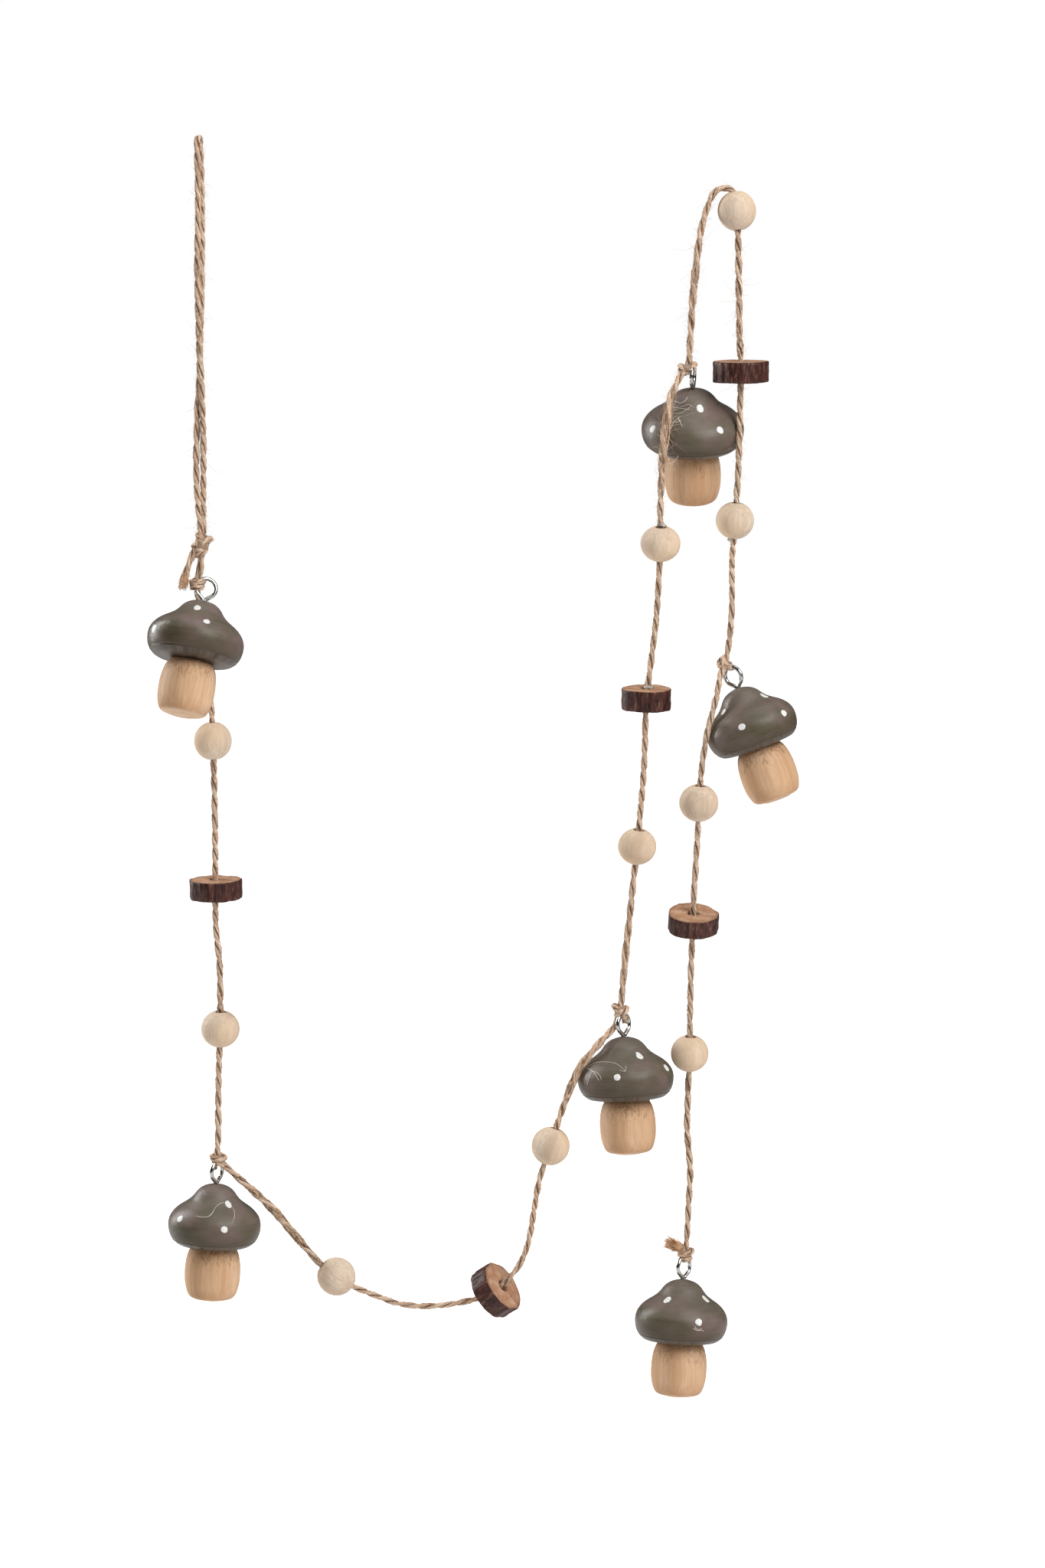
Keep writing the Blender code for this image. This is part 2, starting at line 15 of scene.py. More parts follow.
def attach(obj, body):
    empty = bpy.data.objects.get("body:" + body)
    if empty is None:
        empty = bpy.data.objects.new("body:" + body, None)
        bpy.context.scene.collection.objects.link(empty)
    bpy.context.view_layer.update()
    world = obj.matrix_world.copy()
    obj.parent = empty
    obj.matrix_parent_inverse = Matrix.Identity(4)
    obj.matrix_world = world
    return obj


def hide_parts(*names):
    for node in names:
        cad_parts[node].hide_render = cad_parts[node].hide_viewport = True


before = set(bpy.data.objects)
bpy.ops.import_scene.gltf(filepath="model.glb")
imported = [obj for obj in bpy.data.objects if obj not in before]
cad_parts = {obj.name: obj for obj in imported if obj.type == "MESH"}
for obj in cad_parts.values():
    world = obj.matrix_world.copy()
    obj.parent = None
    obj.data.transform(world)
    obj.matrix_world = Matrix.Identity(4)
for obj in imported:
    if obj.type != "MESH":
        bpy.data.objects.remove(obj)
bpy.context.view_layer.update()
# Without a seed, noise vectors come out differently in each run.
NOISE_SEED = 5
noise.seed_set(NOISE_SEED)

MM = 0.001
WHITE = (1, 1, 1)
TURN = 2 * math.pi

# How far the grain is shifted from one piece to the next, and how streaks like spokes are spaced
GRAIN_SHIFT = (37.7, 11.3, 23.9)
SPOKES = 9
SPOKES_OUTWARDS = 0.08

# The twine and its route, as in the part's source
TWINE_WIDTH = 1.84
LOOP_SPREAD = 2.3
LOOP_BEND = (36, 72, 108, 144)
CURVE_STEPS = 24

Mushroom = namedtuple("Mushroom", "x depth z lean pitch eye_turn girth")
Bead = namedtuple("Bead", "x depth z width height nod roll")
Slice = namedtuple("Slice", "x depth z width thickness nod roll wobble")
Knot = namedtuple("Knot", "x depth z width height")
Loose = namedtuple("Loose", "x depth z reach swell")


def table(kind, *rows):
    return [kind(*row) for row in rows]


def at(row):
    """The place, in metres, that a row of a table begins with."""
    return Vector(row[:3]) * MM


def places(*rows):
    return [at(row) for row in rows]


# Each row begins with its own place, for a mushroom the top of its cap. Angles are in degrees.
MUSHROOMS = table(
    Mushroom,
    (0.8, -1.3, -148.5, 10.2, -14, 10, 1.015),
    (3.9, 0.0, -340.2, 2.8, 1, 62, 0.975),
    (137.8, 0.0, -291.5, -2.7, -2, 54, 1.01),
    (159.9, 1.5, -79.8, -0.7, 17, 80, 1.07),
    (174.5, -2.0, -177.0, -20.3, -1, -40, 0.965),
    (157.5, 0.0, -372.0, 2.7, -3, 52, 0.98),
)
BEADS = table(
    Bead,
    (2.9, 10.0, -195.0, 12.4, 12.0, 0, 0),
    (5.3, 3.3, -289.4, 12.7, 11.7, 5, 0),
    (43.4, -2.2, -370.7, 12.6, 12.1, 0, 0),
    (113.8, -3.4, -327.2, 12.5, 12.0, 0, 0),
    (142.0, -3.0, -228.6, 12.5, 11.4, 3, 0),
    (149.2, -8.3, -129.8, 13.0, 11.2, 5, 0),
    (173.8, -2.0, -22.6, 12.4, 12.2, 0, -2),
    (173.5, -3.2, -122.4, 12.4, 11.5, 3, 0),
    (162.0, -5.0, -214.2, 12.8, 11.6, 3, 0),
    (159.4, -1.7, -296.8, 12.4, 11.6, 4, 0),
)
SLICES = table(
    Slice,
    (3.7, 6.6, -243.5, 17.2, 6.3, 8, 0, 0.0),
    (95.8, -2.5, -375.2, 17.4, 6.4, 6, 0, 1.3),
    (144.9, -5.6, -180.1, 15.9, 6.7, 4, -4.4, 2.1),
    (175.2, -3.5, -74.3, 18.2, 6.7, 8, 0, 3.3),
    (160.2, -3.3, -253.1, 17.0, 5.8, 10, 0, 4.2),
)
KNOTS = table(
    Knot,
    (0.3, 0.0, -131.1, 6.7, 7.2),
    (-1.4, 0.0, -143.0, 5.2, 4.6),
    (4.6, 0.0, -332.5, 6.1, 5.5),
    (136.6, 0.0, -283.3, 5.4, 6.3),
    (158.1, 0.0, -73.4, 6.5, 4.8),
    (170.5, -2.0, -168.8, 4.6, 5.3),
    (158.3, 0.0, -363.9, 5.3, 5.3),
)
# The loop's legs from the top bend down: height, middle, and how far they have turned round each other
LOOP_ROWS = [
    (0.0, 0.0, 70), (-11.8, 0.2, 64), (-26.5, 0.3, 58), (-40.8, 0.1, 54), (-57.1, 0.0, 74),
    (-69.4, 0.0, 92), (-78.8, 0.1, 116), (-87.7, -0.1, 140), (-96.7, -0.1, 168), (-106.6, -0.2, 188),
    (-117.5, 0.0, 226), (-127.4, 0.3, 250),
]
TAIL = places(
    (-5.7, -0.8, -143.2), (-4.9, -0.7, -139.6), (-3.8, -0.6, -136.2), (-2.4, -0.4, -133.0),
)
# The twine after its loop, on each line from a knot through what it carries
ROUTE = places(
    (0.1, 0.0, -134.6), (-0.4, 0.0, -138.9),
    KNOTS[1], (-1.4, 2.6, -145.7), (-0.7, 7.4, -152.6), (0.5, 12.4, -164.4), (1.6, 12.2, -173.0),
    (2.3, 11.3, -183.0), BEADS[0], (3.5, 8.3, -217.1), SLICES[0], (3.8, 5.6, -255.2),
    (5.0, 4.7, -267.3), (5.3, 3.9, -278.8), BEADS[1], (4.8, 2.4, -301.9), (4.6, 1.3, -316.0),
    (4.6, 0.5, -325.0),
    KNOTS[2], (7.6, -1.0, -334.8), (13.2, -1.6, -339.7), (18.3, -1.9, -344.3), (23.9, -2.0, -349.8),
    (28.5, -2.0, -355.4), (33.3, -2.1, -361.1), (38.0, -2.1, -366.4), BEADS[2],
    (49.2, -2.1, -374.1), (57.2, -1.8, -377.5), (64.5, -1.4, -380.0), (72.6, -1.0, -380.8),
    (81.1, -0.6, -380.2), (89.9, -0.6, -378.3), SLICES[1], (100.0, -4.6, -371.0),
    (103.4, -5.1, -366.6), (106.3, -4.8, -359.7), (108.1, -4.3, -350.1), (110.2, -3.8, -338.2),
    BEADS[3], (116.7, -3.6, -317.8), (120.2, -4.6, -308.1), (123.1, -5.4, -301.5),
    (127.8, -4.8, -295.3), (131.3, -2.8, -291.6), (134.6, -0.4, -288.3),
    KNOTS[3], (137.2, -0.4, -277.3), (138.4, -1.2, -263.5), (140.0, -2.0, -248.1), BEADS[4],
    (143.0, -3.7, -217.6), (144.2, -4.6, -201.5), SLICES[2], (146.2, -6.2, -169.0),
    (147.8, -7.0, -155.5), (148.7, -7.8, -141.6), BEADS[5], (149.2, -9.1, -115.8),
    (149.8, -9.9, -103.5), (150.4, -10.3, -95.6), (151.2, -9.6, -89.1), (152.2, -7.4, -83.6),
    (154.1, -4.2, -78.9), (156.0, -1.6, -75.3),
    KNOTS[4], (158.8, -0.3, -66.5), (159.6, -0.8, -52.2), (160.8, -1.1, -39.9),
    (162.2, -1.3, -29.3), (164.2, -1.5, -21.7), (166.4, -1.6, -16.8), (168.7, -1.7, -15.4),
    (171.6, -1.8, -15.6), (173.4, -1.9, -17.7), BEADS[6], (174.3, -2.3, -34.2),
    (174.6, -2.8, -51.7), (174.8, -3.2, -63.1), SLICES[3], (175.0, -3.9, -84.8),
    (174.8, -4.0, -95.6), (174.4, -3.7, -108.5), BEADS[7], (172.6, -3.0, -135.8),
    (172.7, -2.7, -148.2), (172.0, -2.3, -160.2),
    KNOTS[5], (168.9, -4.0, -172.6), (167.9, -6.2, -178.0), (166.3, -7.4, -184.4),
    (164.7, -8.0, -190.3), (163.7, -7.1, -196.4), (162.9, -5.6, -202.9), BEADS[8],
    (161.6, -5.0, -226.0), (160.7, -5.0, -240.0), SLICES[4], (159.8, -1.9, -266.5),
    (159.5, -1.8, -281.6), BEADS[9], (158.9, -1.3, -310.0), (158.7, -0.9, -323.3),
    (159.7, -0.6, -335.0), (159.2, -0.3, -347.8), (158.7, -0.1, -358.0),
    KNOTS[6],
)
TUFT = places(
    (157.9, -0.1, -363.3), (155.9, -0.3, -361.9), (154.5, -0.5, -360.9), (153.2, -0.6, -360.0),
)

# Where the twine hangs slack, its plies open and it is fluffier.
LOOSE_SPOTS = table(
    Loose,
    (24.3, -2.0, -350.5, 17.0, 0.62),
    (122.9, -5.0, -301.4, 12.0, 0.55),
    (138.5, -1.2, -262.5, 13.0, 0.3),
    (150.6, -10.0, -93.6, 13.0, 0.75),
    (159.8, -0.8, -45.3, 17.0, 0.35),
    (-0.2, 0.0, -137.0, 5.0, 0.35),
    (-4.4, -0.7, -139.5, 5.0, 0.35),
    (159.2, -0.7, -330.0, 24.0, 0.14),
    (5.0, 3.0, -305.0, 30.0, 0.12),
)


# Twine route

def smooth_curve(corners, steps):
    """Points on a smooth curve through the corners, with this many steps between two of them."""
    points = []
    last = len(corners) - 1
    for i in range(last):
        before = corners[max(i - 1, 0)]
        start = corners[i]
        end = corners[i + 1]
        after = corners[min(i + 2, last)]
        knots = [0.0]
        for a, b in ((before, start), (start, end), (end, after)):
            knots.append(knots[-1] + max(math.sqrt((b - a).length), 1e-6))
        for step in range(steps):
            t = knots[1] + (knots[2] - knots[1]) * step / steps
            points.append(centripetal(before, start, end, after, knots, t))
    points.append(corners[last])
    return points


def centripetal(before, start, end, after, knots, t):
    """The centripetal Catmull-Rom curve of four corners at the parameter t."""

    def between(a, b, t_a, t_b):
        return a * ((t_b - t) / (t_b - t_a)) + b * ((t - t_a) / (t_b - t_a))

    a_1 = between(before, start, knots[0], knots[1])
    a_2 = between(start, end, knots[1], knots[2])
    a_3 = between(end, after, knots[2], knots[3])
    b_1 = between(a_1, a_2, knots[0], knots[2])
    b_2 = between(a_2, a_3, knots[1], knots[3])
    return between(b_1, b_2, knots[1], knots[2])


def on_circle(angle, height=0.0, radius=1.0):
    return Vector((radius * math.cos(angle), radius * math.sin(angle), height))


def loop_points():
    """The loop's centre line: up one leg, round the top bend and down the other leg."""
    half = LOOP_SPREAD / 2
    legs = []
    for side in (1, -1):
        leg = []
        for height, middle, turn in LOOP_ROWS:
            leg.append(Vector((middle, 0, height)) + on_circle(math.radians(turn)) * half * side)
        legs.append(leg)
    top = []
    turn = math.radians(LOOP_ROWS[0][2])
    for degrees in LOOP_BEND:
        angle = math.radians(degrees)
        top.append(on_circle(turn, half * math.sin(angle), half * math.cos(angle)))
    return [point * MM for point in legs[0][::-1] + top + legs[1]]


def twine_route():
    """The corners of the whole twine, from its cut tail at the loop to the last knot."""
    return TAIL + loop_points() + ROUTE


def even_points(points, step):
    """The same line in steps of equal length."""
    runs = [0.0]
    for a, b in zip(points, points[1:]):
        runs.append(runs[-1] + (b - a).length)
    count = max(2, round(runs[-1] / step))
    made = []
    i = 0
    for k in range(count + 1):
        run = runs[-1] * k / count
        while i < len(points) - 2 and runs[i + 1] < run:
            i += 1
        share = (run - runs[i]) / max(runs[i + 1] - runs[i], 1e-12)
        made.append(points[i].lerp(points[i + 1], min(max(share, 0.0), 1.0)))
    return made


def carried_frames(points):
    """A (tangent, normal, binormal) for each point, turned as little as the line allows."""
    frames = []
    tangent = (points[1] - points[0]).normalized()
    normal = tangent.orthogonal().normalized()
    for i in range(len(points)):
        ahead = points[min(i + 1, len(points) - 1)] - points[max(i - 1, 0)]
        ahead = ahead.normalized() if ahead.length > 1e-9 else tangent
        normal = tangent.rotation_difference(ahead) @ normal
        tangent = ahead
        normal = (normal - tangent * normal.dot(tangent)).normalized()
        frames.append((tangent, normal, tangent.cross(normal)))
    return frames


# Meshes

def add_mesh(name, verts, faces, materials, replaced=(), seed=None, picks=None, matrix=None):
    """A smooth mesh piece that rides on the garland. picks gives each face's material."""
    mesh = bpy.data.meshes.new(name)
    mesh.from_pydata([tuple(v) for v in verts], [], faces)
    for finish in materials:
        mesh.materials.append(finish)
    if picks:
        mesh.polygons.foreach_set("material_index", picks)
    mesh.polygons.foreach_set("use_smooth", [True] * len(mesh.polygons))
    mesh.update()
    made = bpy.data.objects.new(name, mesh)
    bpy.context.scene.collection.objects.link(made)
    if matrix is not None:
        made.matrix_world = matrix
    if seed is not None:
        mark_places(made, seed)
    if replaced:
        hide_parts(*replaced)
    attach(made, "root")
    return made


def add_vectors(made, name, vectors):
    """A vector for each vertex, which the materials read as a place on the piece in millimetres."""
    layer = made.data.attributes.new(name, "FLOAT_VECTOR", "POINT")
    layer.data.foreach_set("vector", [x for v in vectors for x in v])


def mark_places(made, seed):
    """Gives a piece its own places in millimetres, and the same shifted so that no two grains match."""
    shift = Vector([seed * share for share in GRAIN_SHIFT])
    here = [v.co / MM for v in made.data.vertices]
    add_vectors(made, "local", here)
    add_vectors(made, "grain", [p + shift for p in here])


def mark_spin(made, seed):
    """Gives a turned piece places that change round its axis and little outwards, for streaks like spokes."""
    spokes = []
    for v in made.data.vertices:
        radius = max(math.hypot(v.co.x, v.co.y) / MM, 0.01)
        round_x = v.co.x / MM / radius * SPOKES
        spokes.append((round_x + seed, v.co.y / MM / radius * SPOKES, radius * SPOKES_OUTWARDS))
    add_vectors(made, "spin", spokes)


def ring_faces(first, second, sides):
    """The faces between two rings of vertices that start at these numbers."""
    made = []
    for j in range(sides):
        k = (j + 1) % sides
        made.append((first + j, first + k, second + k, second + j))
    return made


def tube_faces(starts, sides):
    """The faces of a tube with closed ends whose rings of vertices start at these numbers."""
    made = []
    for a, b in zip(starts, starts[1:]):
        made += ring_faces(a, b, sides)
    made.append(tuple(range(starts[0], starts[0] + sides))[::-1])
    made.append(tuple(range(starts[-1], starts[-1] + sides)))
    return made


def lathe(rows, segments, warp, close=False):
    """Vertices and faces of a turned shape. rows are (radius, height) in millimetres."""
    verts = []
    faces = []
    starts = []
    for row, (radius, height) in enumerate(rows):
        starts.append(len(verts))
        count = 1 if radius == 0 else segments
        for j in range(count):
            angle = TURN * j / segments
            r, h = warp(row, angle, radius, height)
            verts.append(on_circle(angle, h, r) * MM)
    pairs = list(zip(range(len(rows)), range(1, len(rows))))
    if close:
        pairs.append((len(rows) - 1, 0))
    for a, b in pairs:
        first = starts[a]
        second = starts[b]
        for j in range(segments):
            k = (j + 1) % segments
            if rows[a][0] == 0:
                faces.append((first, second + k, second + j))
            elif rows[b][0] == 0:
                faces.append((first + j, first + k, second))
            else:
                faces.append((first + j, first + k, second + k, second + j))
    return verts, [face[::-1] for face in faces]


def turned_share(amount, angle, detail, along):
    """How far a turned piece is from truly round at this angle, as a factor."""
    return 1 + amount * noise.noise(on_circle(angle, along, detail))


def rounded(corners, steps):
    """A smooth outline of (radius, height) through the corners."""
    line = smooth_curve([Vector((r, h, 0)) for r, h in corners], steps)
    return [(p.x, p.y) for p in line]


def toward(angle, normal, side):
    return normal * math.cos(angle) + side * math.sin(angle)


class Threads:
    """Many thin tapered tubes in one mesh, such as loose fibres."""

    def __init__(self, sides=3):
        self.sides = sides
        self.verts = []
        self.faces = []

    def add(self, points, thickness, taper=0.35):
        last = len(points) - 1
        starts = []
        for i, (point, (_, normal, side)) in enumerate(zip(points, carried_frames(points))):
            radius = thickness / 2 * (1 - (1 - taper) * (i / last))
            starts.append(len(self.verts))
            for j in range(self.sides):
                self.verts.append(point + toward(TURN * j / self.sides, normal, side) * radius)
        self.faces += tube_faces(starts, self.sides)

    def make(self, name, material, slot, seed, replaced=(), matrix=None):
        return add_mesh(name, self.verts, self.faces, [material], replaced, seed, matrix=matrix)


# Materials

class Nodes:
    """A node tree, with one short call for each kind of node that the looks use."""

    def __init__(self, tree):
        self.nodes = tree.nodes
        self.links = tree.links

    def feed(self, socket, value):
        """Links a socket, or sets a value or colour on it."""
        if isinstance(value, bpy.types.NodeSocket):
            self.links.new(value, socket)
        elif socket.type == "RGBA":
            socket.default_value = (*value, 1.0)
        else:
            socket.default_value = value

    def node(self, kind, **inputs):
        made = self.nodes.new(kind)
        for name, value in inputs.items():
            self.feed(made.inputs[name.replace("_", " ")], value)
        return made

    def places(self, name, stretch):
        """A named place of the mesh, stretched by this much for each millimetre."""
        source = self.nodes.new("ShaderNodeAttribute")
        source.attribute_name = name
        made = self.node("ShaderNodeMapping", Vector=source.outputs["Vector"], Scale=stretch)
        return made.outputs["Vector"]

    def noise(self, stretch, detail=3.0, roughness=0.55, distortion=0.0, name="grain"):
        made = self.node("ShaderNodeTexNoise", Vector=self.places(name, stretch), Scale=1.0, Detail=detail)
        made.inputs["Roughness"].default_value = roughness
        made.inputs["Distortion"].default_value = distortion
        return made.outputs["Fac"]

    def ramp(self, factor, stops):
        made = self.node("ShaderNodeValToRGB", Fac=factor)
        elements = made.color_ramp.elements
        while len(elements) < len(stops):
            elements.new(0.5)
        for element, (position, colour) in zip(elements, stops):
            element.position = position
            element.color = (*colour, 1.0)
        return made.outputs["Color"]

    def level(self, factor, low, high, start=0.0, end=1.0):
        """The factor mapped from low..high to start..end, and held there outside."""
        made = self.node("ShaderNodeMapRange", Value=factor, From_Min=low, From_Max=high)
        made.inputs["To Min"].default_value = start
        made.inputs["To Max"].default_value = end
        return made.outputs["Result"]

    def mix(self, factor, a, b):
        made = self.nodes.new("ShaderNodeMix")
        made.data_type = "RGBA"
        for socket, value in zip((made.inputs[0], made.inputs[6], made.inputs[7]), (factor, a, b)):
            self.feed(socket, value)
        return made.outputs[2]

    def layers(self, colour, *rows):
        """The colour under covers, each up to its share as its factor goes from low to high."""
        for factor, low, high, share, cover in rows:
            colour = self.mix(self.level(factor, low, high, 0.0, share), colour, cover)
        return colour

    def maths(self, operation, *values):
        made = self.nodes.new("ShaderNodeMath")
        made.operation = operation
        for socket, value in zip(made.inputs, values):
            self.feed(socket, value)
        return made.outputs[0]

    def part(self, name, axis):
        """One coordinate of a named place."""
        return self.node("ShaderNodeSeparateXYZ", Vector=self.places(name, (1, 1, 1))).outputs[axis]

    def off_axis(self):
        """How far a place is from its piece's axis."""
        made = self.nodes.new("ShaderNodeVectorMath")
        made.operation = "LENGTH"
        self.feed(made.inputs[0], self.places("local", (1, 1, 0)))
        return made.outputs["Value"]

    def bump(self, height, strength, distance, after=None):
        made = self.node("ShaderNodeBump", Height=height, Strength=strength, Distance=distance * MM)
        if after is not None:
            self.feed(made.inputs["Normal"], after)
        return made.outputs["Normal"]


class Paint(Nodes):
    """A material and its shader."""

    def __init__(self, name):
        self.material = bpy.data.materials.new(name)
        self.material.use_nodes = True
        super().__init__(self.material.node_tree)
        self.shader = self.nodes["Principled BSDF"]

    def finish(self, colour, roughness, normal=None, **others):
        """Feeds the shader. others are values that are the same all over the surface."""
        inputs = {"Base_Color": colour, "Roughness": roughness, **others}
        if normal is not None:
            inputs["Normal"] = normal
        for name, value in inputs.items():
            self.feed(self.shader.inputs[name.replace("_", " ")], value)
        return self.material


# Heights on a mushroom, under the top of its cap
CAP_EDGE = (-18.55, -18.68)
STEM_IN_SHADE = (-29.0, -22.5)
# A band of painted shade on the stem above its foot
STEM_FOOT_SHADE_BAND = (-33.5, -37.0)
# The foot face: paler end grain, with painted light from below
STEM_FOOT_LIT_FACE = (-37.3, -38.0)


def cap_paint():
    """Semi-gloss grey-brown paint with soft brush bands round the cap; painted light makes the crown paler,
    painted shade makes it warmer and darker near its edge, and painted shade darkens its streaked underside.
    """
    paint = Paint("cap_paint_coat")
    height = paint.part("local", "Z")
    patches = paint.noise((0.085, 0.085, 0.12), 2.0)
    bands = paint.noise((0.05, 0.05, 0.85), 4.0, 0.6)
    brush = paint.noise((0.22, 0.22, 2.4), 4.0, 0.65)
    grain = paint.noise((2.4, 2.4, 2.8), 3.0, 0.6)
    spokes = paint.noise((1, 1, 1), 3.0, 0.6, name="spin")
    colour = paint.ramp(
        patches, [(0.36, (0.086, 0.078, 0.044)), (0.5, (0.132, 0.102, 0.074)), (0.63, (0.19, 0.133, 0.122))]
    )
    colour = paint.layers(
        colour,
        (bands, 0.42, 0.68, 0.34, (0.172, 0.14, 0.108)),
        # Painted light: the crown is made paler towards the top of the cap.
        (height, -13.0, -2.0, 0.55, (0.2, 0.164, 0.14)),
        (brush, 0.5, 0.72, 0.3, (0.07, 0.056, 0.04)),
        # Painted shade: warmer and darker towards the lower edge of the brim.
        (height, -11.5, -18.4, 0.85, (0.064, 0.043, 0.022)),
    )
    # The underside: streaks like spokes, darkened with painted shade.
    under = paint.ramp(spokes, [(0.35, (0.045, 0.032, 0.021)), (0.65, (0.12, 0.092, 0.068))])
    colour = paint.layers(colour, (height, *CAP_EDGE, 1.0, under))
    normal = paint.bump(bands, 0.25, 0.12, paint.bump(grain, 0.75, 0.14))
    return paint.finish(colour, paint.level(bands, 0.3, 0.7, 0.26, 0.36), normal, Specular_IOR_Level=0.3)


def dot_paint():
    """Thick white paint, a little grey and thin where it dried."""
    paint = Paint("dot_paint")
    mottle = paint.noise((2.2, 2.2, 2.2), 2.0)
    colour = paint.ramp(mottle, [(0.3, (0.7, 0.69, 0.66)), (0.6, (0.86, 0.86, 0.84))])
    return paint.finish(colour, 0.4, paint.bump(mottle, 0.3, 0.08))


def turned_wood(name, dark, middle, pale, scratches):
    """Bare turned wood with upright grain. scratches is how strong a stem's dark pores are, 0 for a bead. A
    stem also gets a painted shadow under its cap, painted shade above its foot and painted light on its foot
    face; a bead gets painted shade in its hole.
    """
    paint = Paint(name)
    broad = paint.noise((0.16, 0.16, 0.012), 3.0, 0.6)
    fine = paint.noise((1.3, 1.3, 0.06), 4.0, 0.62)
    pores = paint.noise((2.2, 2.2, 0.45), 2.0, 0.5)
    colour = paint.ramp(broad, [(0.28, dark), (0.5, middle), (0.74, pale)])
    colour = paint.layers(colour, (fine, 0.4, 0.62, 0.5, dark))
    if scratches:
        height = paint.part("local", "Z")
        clouds = paint.noise((0.18, 0.18, 0.1), 1.0)
        shade = paint.level(height, *STEM_IN_SHADE)
        patch = paint.maths("MULTIPLY", shade, paint.level(clouds, 0.4, 0.6, 0.2))
        marks = paint.maths("MULTIPLY", patch, paint.level(pores, 0.52, 0.6, 0.0, scratches))
        colour = paint.mix(marks, colour, (0.15, 0.065, 0.03))
        colour = paint.layers(
            colour,
            # Painted shadow of the cap: a darker band at the top of the stem.
            (height, -25.5, -22.2, 0.14, (0.4, 0.185, 0.07)),
            # Painted shade: darker above the foot.
            (height, *STEM_FOOT_SHADE_BAND, 0.3, (0.4, 0.2, 0.095)),
            # Painted light from below on the paler end grain of the foot face.
            (height, *STEM_FOOT_LIT_FACE, 0.7, pale),
        )
    else:
        warm = paint.noise((0.05, 0.05, 0.03), 1.0)
        colour = paint.layers(
            colour,
            (pores, 0.6, 0.68, 0.35, (0.42, 0.28, 0.17)),
            (warm, 0.48, 0.6, 0.45, (0.74, 0.53, 0.34)),
            # Painted shade inside the hole and at its mouth.
            (paint.off_axis(), 1.95, 1.66, 0.85, (0.16, 0.085, 0.045)),
        )
    normal = paint.bump(pores, 0.12, 0.06, paint.bump(fine, 0.22, 0.09))
    return paint.finish(colour, paint.level(fine, 0.3, 0.7, 0.5, 0.62), normal, Specular_IOR_Level=0.15)


def bark():
    """Dark red-brown rough bark with upright cracks and a few paler flakes."""
    paint = Paint("slice_bark")
    ridges = paint.noise((0.75, 0.75, 0.16), 5.0, 0.65, 0.4)
    flakes = paint.noise((1.8, 1.8, 0.35), 4.0, 0.6)
    colour = paint.ramp(
        ridges,
        [(0.36, (0.012, 0.0032, 0.0022)), (0.5, (0.052, 0.013, 0.008)), (0.6, (0.082, 0.025, 0.016)),
         (0.72, (0.2, 0.11, 0.078))],
    )
    colour = paint.layers(colour, (flakes, 0.58, 0.66, 0.6, (0.24, 0.125, 0.075)))
    normal = paint.bump(flakes, 0.4, 0.15, paint.bump(ridges, 0.7, 0.35))
    return paint.finish(colour, paint.level(flakes, 0.3, 0.7, 0.32, 0.62), normal, Specular_IOR_Level=0.3)


def cut_face():
    """The sawn face of a branch: year rings, fine saw marks, a few cracks and painted shade round the hole.
    """
    paint = Paint("slice_cut_face")
    radius = paint.off_axis()
    run = paint.maths("ADD", radius, paint.maths("MULTIPLY", paint.noise((0.25, 0.25, 0.25), 2.0), 3.0))
    rings = paint.maths("SINE", paint.maths("MULTIPLY", run, 7.5))
    pores = paint.noise((2.5, 2.5, 2.5))
    broad = paint.noise((0.3, 0.3, 0.3), 2.0)
    cracks = paint.noise((0.8, 0.8, 0.3), 3.0, 0.6, name="spin")
    colour = paint.ramp(
        broad, [(0.3, (0.36, 0.17, 0.09)), (0.5, (0.46, 0.25, 0.14)), (0.7, (0.56, 0.36, 0.23))]
    )
    colour = paint.layers(
        colour,
        (rings, 0.2, 1.0, 0.4, (0.24, 0.1, 0.05)),
        (pores, 0.55, 0.75, 0.5, (0.66, 0.48, 0.33)),
        (cracks, 0.62, 0.68, 0.75, (0.1, 0.045, 0.028)),
        (radius, 7.0, 8.6, 0.75, (0.2, 0.085, 0.05)),
        # Painted shade round the hole.
        (radius, 2.4, 1.95, 0.6, (0.2, 0.095, 0.055)),
    )
    return paint.finish(colour, 0.75, paint.bump(pores, 0.35, 0.12))


def jute():
    """Two-ply jute: streaks that follow the ply, from rust to pale straw, with painted shade where the plies
    meet.
    """
    paint = Paint("jute_plies")
    streaks = paint.noise((0.24, 2.7, 2.7), 5.0, 0.7, name="ply")
    bundles = paint.noise((0.15, 1.25, 1.25), 3.0, 0.6, name="ply")
    stretches = paint.noise((0.05, 0.25, 0.25), 1.0, name="ply")
    colour = paint.ramp(
        streaks,
        [(0.3, (0.15, 0.07, 0.035)), (0.4, (0.44, 0.245, 0.135)), (0.49, (0.72, 0.47, 0.305)),
         (0.6, (0.97, 0.78, 0.61))],
    )
    colour = paint.layers(
        colour,
        (bundles, 0.53, 0.64, 0.55, (0.46, 0.21, 0.095)),
        (bundles, 0.47, 0.36, 0.55, (0.86, 0.67, 0.495)),
        (stretches, 0.42, 0.62, 0.3, (0.74, 0.56, 0.41)),
        # Painted shade where the two plies meet.
        (paint.part("groove_shade", "X"), 0.05, -0.7, 0.88, (0.12, 0.053, 0.026)),
    )
    roughness = paint.level(streaks, 0.3, 0.7, 0.72, 0.9)
    return paint.finish(colour, roughness, paint.bump(streaks, 0.9, 0.3), Sheen_Weight=0.15)


def loose_jute(name, dark, pale):
    """Single fibres, each a little darker or paler along its length."""
    paint = Paint(name)
    shade = paint.noise((0.5, 0.5, 0.5), 2.0)
    colour = paint.ramp(shade, [(0.35, dark), (0.65, pale)])
    return paint.finish(colour, paint.level(shade, 0.3, 0.7, 0.6, 0.8))


